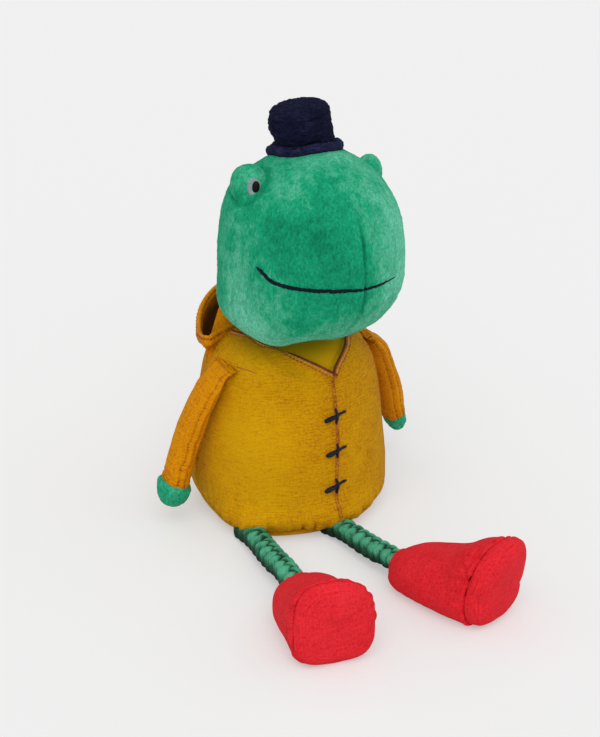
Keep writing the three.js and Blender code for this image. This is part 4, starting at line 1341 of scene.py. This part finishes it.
HAND_THICK = {"right": 10.4, "left": 6.6}
HAND_WIDE = {"right": 9.8, "left": 8.8}
HAND_LONG = 13.6
SLEEVE_WIDE = {"right": (10.2, 10.0, 9.8, 9.8, 9.4, 8.8, 8.6), "left": (6.5, 8.6, 9.6, 9.8, 9.2, 8.4, 8.2)}
SLEEVE_THICK = {"right": (1.0, 2.2, 3.4, 5.0, 6.2, 7.2, 7.8), "left": (0.9, 2.4, 3.8, 5.0, 5.6, 6.2, 6.4)}
SLEEVE_ROOT = {"right": np.array([6.4, 2.0, -2.0]), "left": np.array([-6.4, 0.8, -1.4])}


def oval_stack(thick, wide, height, power):
    """Rounded rings one above another, each with its own thickness, width and height."""
    angle = np.linspace(0, TAU, ARM_COLS, endpoint=False)
    x = thick[:, None] * np.cos(angle)[None, :]
    y = wide[:, None] * rounded(np.sin(angle), power)[None, :]
    return np.stack([x, y, np.repeat(height[:, None], ARM_COLS, 1)], -1)


def make_sleeve(side, sign):
    t = np.linspace(0, 1, 44)
    wide = np.interp(t, [0, 0.04, 0.1, 0.25, 0.5, 0.8, 1], SLEEVE_WIDE[side])
    thick = np.interp(t, [0, 0.05, 0.12, 0.25, 0.5, 0.85, 1], SLEEVE_THICK[side])
    grid = oval_stack(thick, wide, ARM_TOP - t * ARM_LENGTH[side], 2.1)
    grid += np.exp(-t * 8)[:, None, None] * SLEEVE_ROOT[side]
    grid = refine(puff(grid, held_ends(grid, 2, 1), slack=0.05, cap=1.6, bend=0.3), 3, 3)
    share = (ARM_TOP - grid[..., 2]) / ARM_LENGTH[side]
    grid = push(grid, 0.45 * noise(grid, 11, 50 + (sign > 0)) + 0.18 * noise(grid, 4.5, 52))
    seams = 0.0
    for edge in (-1, 1):
        line = np.array([row[np.argmin(edge * row[:, 1])] for row in grid[6:-2:6]])
        grid = push(grid, ridge_near(grid, line, 0.9, 0.5) - ridge_near(grid, line, 0.8, 0.45, 2.6))
        # painted shade along the line beside each edge
        seams = seams + ridge_near(grid, line, 0.7, 0.6, 2.6)
    if side == "left":
        line = grid[6:-2:6, grid.shape[1] // 8]
        grid = push(grid, ridge_near(grid, line, 1.6, 0.6) - ridge_near(grid, line, 1.2, 0.5, 3.0))
    grid = push(grid, -0.5 * bell(share - 0.1 - 0.004 * grid[..., 1], 0.03))
    grid = push(grid, -0.5 * bell(share - 0.93, 0.012))
    placed = hang(arm_bow(grid, side, sign), side, sign)
    sleeve = skin(f"{side}_sleeve_canvas", placed)
    dress(sleeve, f"{side}_arm", SLEEVE, "sleeve_canvas", f"{side}_sleeve")
    # painted shade along the seam lines and at the cuff, and a strong painted shadow where the sleeve meets the
    # coat
    shade(sleeve, -0.5 * bell(share - 1, 0.05) - 1.8 * bell(share, 0.03) - seams)


def make_hand(side, sign):
    tilt = np.linspace(0.0, math.pi / 2 - 0.05, 26)
    foot = ARM_TOP - ARM_LENGTH[side] - 1.2
    narrowing = np.cos(tilt)
    height = foot - HAND_LONG * np.sin(tilt)
    hand = oval_stack(HAND_THICK[side] * narrowing, HAND_WIDE[side] * narrowing, height, 2.3)
    collar = hand[:1] * np.array([0.78, 0.88, 1]) + np.array([0, 0, 2.6])
    mid = hand[:1] * np.array([0.92, 0.97, 1]) + np.array([0, 0, 1.7])
    hand = refine(np.concatenate([collar, mid, hand]), 3, 3)
    hand = push(hand, 0.5 * noise(hand, 6, 54) + 0.26 * noise(hand, 1.2, 55) + 0.24 * noise(hand, 2.2, 56))
    placed = hang(arm_bow(hand, side, sign), side, sign)
    mitt = skin(f"{side}_hand_plush", placed)
    dress(mitt, f"{side}_arm", MITT, "green_plush", f"{side}_hand")


for side, sign in SIDES:
    make_sleeve(side, sign)
    make_hand(side, sign)

# Rope legs

HIP = {"right": np.array([-48.8, -35.6, 7.3]), "left": np.array([-3.4, -56.6, 7.3])}
ROPE_LENGTH = {"right": 77, "left": 64}
ROPE_TURN = {"right": -10.5, "left": 1}
ROPE_RISE = 4.5
ROPE_PITCH = {"right": 21.0, "left": 20.0}
ROPE_AROUND = 52


def rope_direction(side):
    turn, rise = math.radians(ROPE_TURN[side]), math.radians(ROPE_RISE)
    return np.array([math.sin(turn) * math.cos(rise), -math.cos(turn) * math.cos(rise), math.sin(rise)])


def ankle(side):
    return HIP[side] + rope_direction(side) * ROPE_LENGTH[side]


def make_rope(side):
    """Three flat fibre strands plaited over and under each other, with painted shade at the strands' edges and
    where a strand passes under, and painted light where it passes over.
    """
    d = rope_direction(side)
    across = np.cross(d, [0, 0, 1.0])
    across /= np.linalg.norm(across)
    up = np.cross(across, d)
    start, end = -7.0, ROPE_LENGTH[side] + 2.5
    s = np.linspace(start, end, 260)
    pressed = smooth(-s, -14, 2)
    rim = np.abs(np.cos(np.linspace(0, TAU, ROPE_AROUND, endpoint=False)))
    strands, painted_gap_shades = [], []
    for k in range(3):
        t = TAU * (s / ROPE_PITCH[side] + k / 3) + 0.35 * np.sin(s / 9 + k)
        y = 2.2 * np.sin(2 * t)
        tight = np.interp(s, [start, start + 6, end - 8, end], [0.85, 1, 1, 0.85])
        tight = tight * (1 + 0.05 * np.sin(s / 7 + 2 * k))
        height = y * tight * (1 - 0.35 * pressed) - 0.3 - 1.9 * pressed
        path = HIP[side] + d * s[:, None] + across * (3.85 * np.sin(t) * tight)[:, None] + up * height[:, None]
        face = up + across * (0.75 * np.sin(t))[:, None]
        plump = tight * (1 + 0.08 * noise(np.stack([s, 0 * s + 9 * k, 0 * s], 1), 6, 95))
        grid = tube(path, 4.2 * plump, ROPE_AROUND, up=face, flat=0.5, ridges=17, ridge=0.06)
        strands.append(grid)
        depth = np.interp(np.linspace(0, 1, len(grid)), np.linspace(0, 1, len(s)), y)
        # painted shade between the strands and where a strand passes under, painted light where it passes over
        tone = 0.28 * depth[:, None] - 0.9 * rim[None, :] ** 5
        painted_gap_shades.append(np.concatenate([tone.ravel(), [0, 0]]))
    obj = skin(f"{side}_rope_plait", *strands)
    dress(obj, f"{side}_leg", ROPE, "green_rope", f"{side}_rope_leg")
    shade(obj, np.concatenate(painted_gap_shades))


for side, _ in SIDES:
    make_rope(side)

# Boots

BOOT_TURN = {"right": -14, "left": 17}
BOOT_LEAN = {"right": -0.04, "left": 0.18}
BOOT_PROFILE = [
    (-1.0, 7.4, 7.0, 5.2), (1.0, 9.8, 8.4, 3.6), (4, 13.6, 10.2, 1.6), (9, 17.0, 12.2, 0.5), (16, 19.4, 13.8, 0.1),
    (26, 21.0, 15.2, 0), (38, 22.0, 17.6, 0), (48, 22.6, 21.4, 0), (56, 22.8, 23.6, 0), (60, 22.2, 24.2, 0.2),
]
BOOT_SWELL = 0.8
BOOT_HIGH = {"right": 0.985, "left": 1.0}
BOOT_SQUARE = {"right": 3.3, "left": 2.7}
BOOT_CORNER = {"right": -0.23, "left": 0.0}
BOOT_ASIDE = {"right": 2.2, "left": 0.0}
BOOT_LENGTH = 60.0
BOOT_COLS = 60
BOOT_SEED = {"right": 61, "left": 71}


def boot_rings(side, profile):
    """Rings along a boot, from rows of distance from the ankle, half width, half height and lift."""
    grid = []
    angle = np.linspace(0, TAU, BOOT_COLS, endpoint=False)
    lean = BOOT_LEAN[side] / BOOT_LENGTH
    outer_top = np.clip(np.sin(angle), 0, 1) * np.clip(np.cos(angle), 0, 1)
    for t, wide, high, lift in profile:
        high = high * BOOT_HIGH[side]
        toe_share = min(max(t / 50, 0), 1)
        square = 2.2 + (BOOT_SQUARE[side] - 2.2) * toe_share
        corner = 1 + BOOT_CORNER[side] * outer_top * toe_share
        rise = high * rounded(np.sin(angle), square) * corner
        forward = lean * np.maximum(rise, -0.25 * high) * max(t, 0)
        aside = BOOT_ASIDE[side] * (1 - smooth(t, 6, 26))
        across = wide * corner * rounded(np.cos(angle), square + 0.1) + aside
        grid.append(np.stack([across, -(t + forward), high + lift - 0.5 + rise], 1))
    return np.array(grid)


def boot_place(grid, side):
    """Stands a boot at its ankle, turned outwards, pressed flat where it meets the floor."""
    foot = ankle(side) * np.array([1, 1, 0])
    out = turned(grid, "Z", BOOT_TURN[side]) + foot
    out[..., 2] = np.maximum(out[..., 2], 0.15 + 0.1 * np.abs(noise(out, 5, 60)))
    return out


BOOT_END = {
    "right": (
        (-1.4, 0.90), (-0.6, 0.965), (0.3, 0.99), (1.5, 0.965), (3.0, 0.88), (4.2, 0.74), (5.0, 0.55), (5.5, 0.36),
        (5.7, 0.16), (5.75, 0.04),
    ),
    "left": (
        (-1.4, 0.90), (-0.6, 0.965), (0.6, 1.0), (2.6, 0.99), (5.4, 0.93), (7.8, 0.8), (9.2, 0.6), (9.9, 0.36),
        (10.2, 0.16), (10.3, 0.04),
    ),
}


def boot_tucks(rng, angle, fade, widths, depths, lip, steps):
    """Little gathers at random places round a boot's seam; fade says how strong they are along it."""
    tucks = np.zeros(angle.shape)
    at = -math.pi
    while at < math.pi:
        width = rng.uniform(*widths)
        off = np.angle(np.exp(1j * (angle - at))) / width
        tucks += (lip * bell(np.abs(off) - 2) - rng.uniform(*depths) * bell(off)) * fade
        at += rng.uniform(*steps)
    return tucks


def make_boot_upper(side):
    seed = BOOT_SEED[side]
    profile = spline(BOOT_PROFILE, 44)
    profile[:, 1:3] -= BOOT_SWELL
    upper = boot_rings(side, profile)
    upper = refine(puff(upper, held_ends(upper, 2, 1), slack=0.05, cap=2.0, bend=0.4), 3, 4)
    upper = push(upper, 0.7 * noise(upper, 18, seed) + 0.25 * noise(upper, 7, seed + 1))
    middle = upper.mean(1, keepdims=True)
    angle = np.arctan2(upper[..., 2] - middle[..., 2], upper[..., 0] - middle[..., 0])
    row = np.linspace(0, 1, upper.shape[0])[:, None]
    rng = np.random.default_rng(seed)
    tucks = boot_tucks(rng, angle, np.exp(-(1 - row) / 0.13), (0.05, 0.1), (0.4, 1.4), 0.35, (0.25, 0.6))
    tucks += boot_tucks(rng, angle, np.exp(-row / 0.1), (0.08, 0.16), (0.3, 1.0), 0.0, (0.4, 0.8))
    upper = push(upper, tucks)
    end_seam = bell(1 - row, 0.014) * np.ones(angle.shape)
    upper = push(upper, -2.0 * end_seam + 0.5 * bell(1 - row - 0.045, 0.02))
    obj = skin(f"{side}_boot_canvas", boot_place(upper, side))
    dress(obj, f"{side}_foot", RED, "red_canvas", f"{side}_boot_upper")
    # painted shade along the end seam and in the gathers
    shade(obj, -1.4 * end_seam + 0.5 * np.minimum(tucks, 0))


def make_boot_panel(side):
    """The domed panel sewn into the boot's end."""
    seed = BOOT_SEED[side]
    reach, wide, high, lift = BOOT_PROFILE[-1]
    face = [(reach + out, wide * part, high * part, lift + high * (1 - part)) for out, part in BOOT_END[side]]
    panel = boot_rings(side, spline(face, 22))
    panel = refine(puff(panel, held_ends(panel, 4), slack=0.03, cap=1.0, bend=0.5, frames=12), 2, 4)
    panel = push(panel, 0.5 * noise(panel, 15, seed + 3) + 0.18 * noise(panel, 6, seed + 4))
    obj = skin(f"{side}_boot_panel", boot_place(panel, side))
    dress(obj, f"{side}_foot", RED, "red_canvas", f"{side}_boot_sole")


for side, _ in SIDES:
    make_boot_upper(side)
    make_boot_panel(side)

# What is held inside

HIP_HOLLOW, ANKLE_HOLLOW = 12.5, 10.5
HAT_SHIFT = (1.4, 3.4, -1.1)


def clear_of(points, centre, radius):
    """Points nearer to a centre than radius moved out to that distance."""
    away = points - centre
    reach = np.linalg.norm(away, axis=1, keepdims=True)
    return centre + away * np.maximum(1, radius / np.maximum(reach, 1e-6))


def make_filling(node, body, inset, shift=(0, 0, 0), low=1.0, lean=False, hollows=()):
    """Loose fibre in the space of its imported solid, drawn in and lumpy, with room for the rope ends."""
    source = frame["nodes"][node]
    obj = source.copy()
    obj.data = source.data.copy()
    obj.name = node + "_fibre"
    obj.parent = None
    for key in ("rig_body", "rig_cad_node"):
        if key in obj:
            del obj[key]
    bpy.context.scene.collection.objects.link(obj)
    mesh = obj.data
    co = np.array([v.co for v in mesh.vertices]) / MM
    norm = np.array([v.normal for v in mesh.vertices])
    co = (co - norm * (inset + 0.4 * noise(co, 6, 90)[:, None]) + np.array(shift)) * np.array([1, 1, low])
    if lean:
        co = lean_chin(co)
    for centre, radius in hollows:
        co = clear_of(co, centre, radius)
    mesh.vertices.foreach_set("co", (co * MM).ravel())
    mesh.update()
    dress(obj, body, FILL, "polyester_fill", node)


make_filling("body_stuffing", "torso", 2.0, hollows=[(hip, HIP_HOLLOW) for hip in HIP.values()])
make_filling("head_stuffing", "head", 2.4, lean=True)
for side, _ in SIDES:
    make_filling(f"{side}_boot_stuffing", f"{side}_foot", 2.0, low=0.8, hollows=[(ankle(side), ANKLE_HOLLOW)])
make_filling("hat_stuffing", "head", 3.0, HAT_SHIFT)
for node in ("squeaker_bellows", "squeaker_reed"):
    part = frame["nodes"][node]
    part.data.materials.clear()
    part.data.materials.append(PLASTIC)

# Floor and light

FLOOR_GLOW, FLOOR_SHARE = 0.36, 0.56
FLOOR_REACH = 12
WORLD_LIGHT, WORLD_SHOWN = 0.6, 0.88
LAMPS = (
    ("key", (-0.42, -0.62, 1.0), 50, 0.95),
    ("front", (-0.45, -1.0, 0.3), 60, 0.36),
    ("fill", (0.7, -0.5, 0.8), 70, 0.2),
)


def make_floor():
    mesh = bpy.data.meshes.new("floor")
    corners = [(x * FLOOR_REACH, y * FLOOR_REACH, 0) for x, y in ((-1, -1), (1, -1), (1, 1), (-1, 1))]
    mesh.from_pydata(corners, [], [(0, 1, 2, 3)])
    floor = bpy.data.objects.new("floor", mesh)
    bpy.context.scene.collection.objects.link(floor)
    look = Look("pale_floor")
    clouds = look.noise(look.place((0.01, 0.01, 0.01)), 1.0)
    colour = look.ramp(clouds, (0, (0.80, 0.80, 0.80)), (1, (0.82, 0.82, 0.82)))
    plain = look.add("BsdfDiffuse", None, Color=colour)
    glow = look.add("Emission", None, Color=(1, 1, 1, 1), Strength=FLOOR_GLOW)
    dim = look.add("BsdfDiffuse", None, Color=(FLOOR_SHARE, FLOOR_SHARE, FLOOR_SHARE, 1))
    seen = look.add("AddShader", None, i0=glow, i1=dim)
    path = look.add("LightPath")
    both = look.add("MixShader", None, i0=path.outputs["Is Camera Ray"], i1=plain, i2=seen)
    look.tree.links.new(both.outputs[0], look.out.inputs[0])
    mesh.materials.append(look.material)


def make_light():
    world = bpy.data.worlds.new("world")
    bpy.context.scene.world = world
    world.use_nodes = True
    tree = world.node_tree
    tree.nodes.clear()
    out = tree.nodes.new("ShaderNodeOutputWorld")
    soft = tree.nodes.new("ShaderNodeBackground")
    soft.inputs[0].default_value = (1, 1, 1, 1)
    soft.inputs[1].default_value = WORLD_LIGHT
    shown = tree.nodes.new("ShaderNodeBackground")
    shown.inputs[0].default_value = (WORLD_SHOWN, WORLD_SHOWN, WORLD_SHOWN, 1)
    shown.inputs[1].default_value = 1
    path = tree.nodes.new("ShaderNodeLightPath")
    mix = tree.nodes.new("ShaderNodeMixShader")
    tree.links.new(path.outputs["Is Camera Ray"], mix.inputs[0])
    tree.links.new(soft.outputs[0], mix.inputs[1])
    tree.links.new(shown.outputs[0], mix.inputs[2])
    tree.links.new(mix.outputs[0], out.inputs[0])
    for name, way, spread, strength in LAMPS:
        data = bpy.data.lights.new(name, "SUN")
        data.angle = math.radians(spread)
        data.energy = strength
        lamp = bpy.data.objects.new(name, data)
        bpy.context.scene.collection.objects.link(lamp)
        lamp.rotation_euler = (-Vector(way)).to_track_quat("-Z", "Y").to_euler()


make_floor()
make_light()
bpy.context.scene.view_settings.view_transform = "Standard"
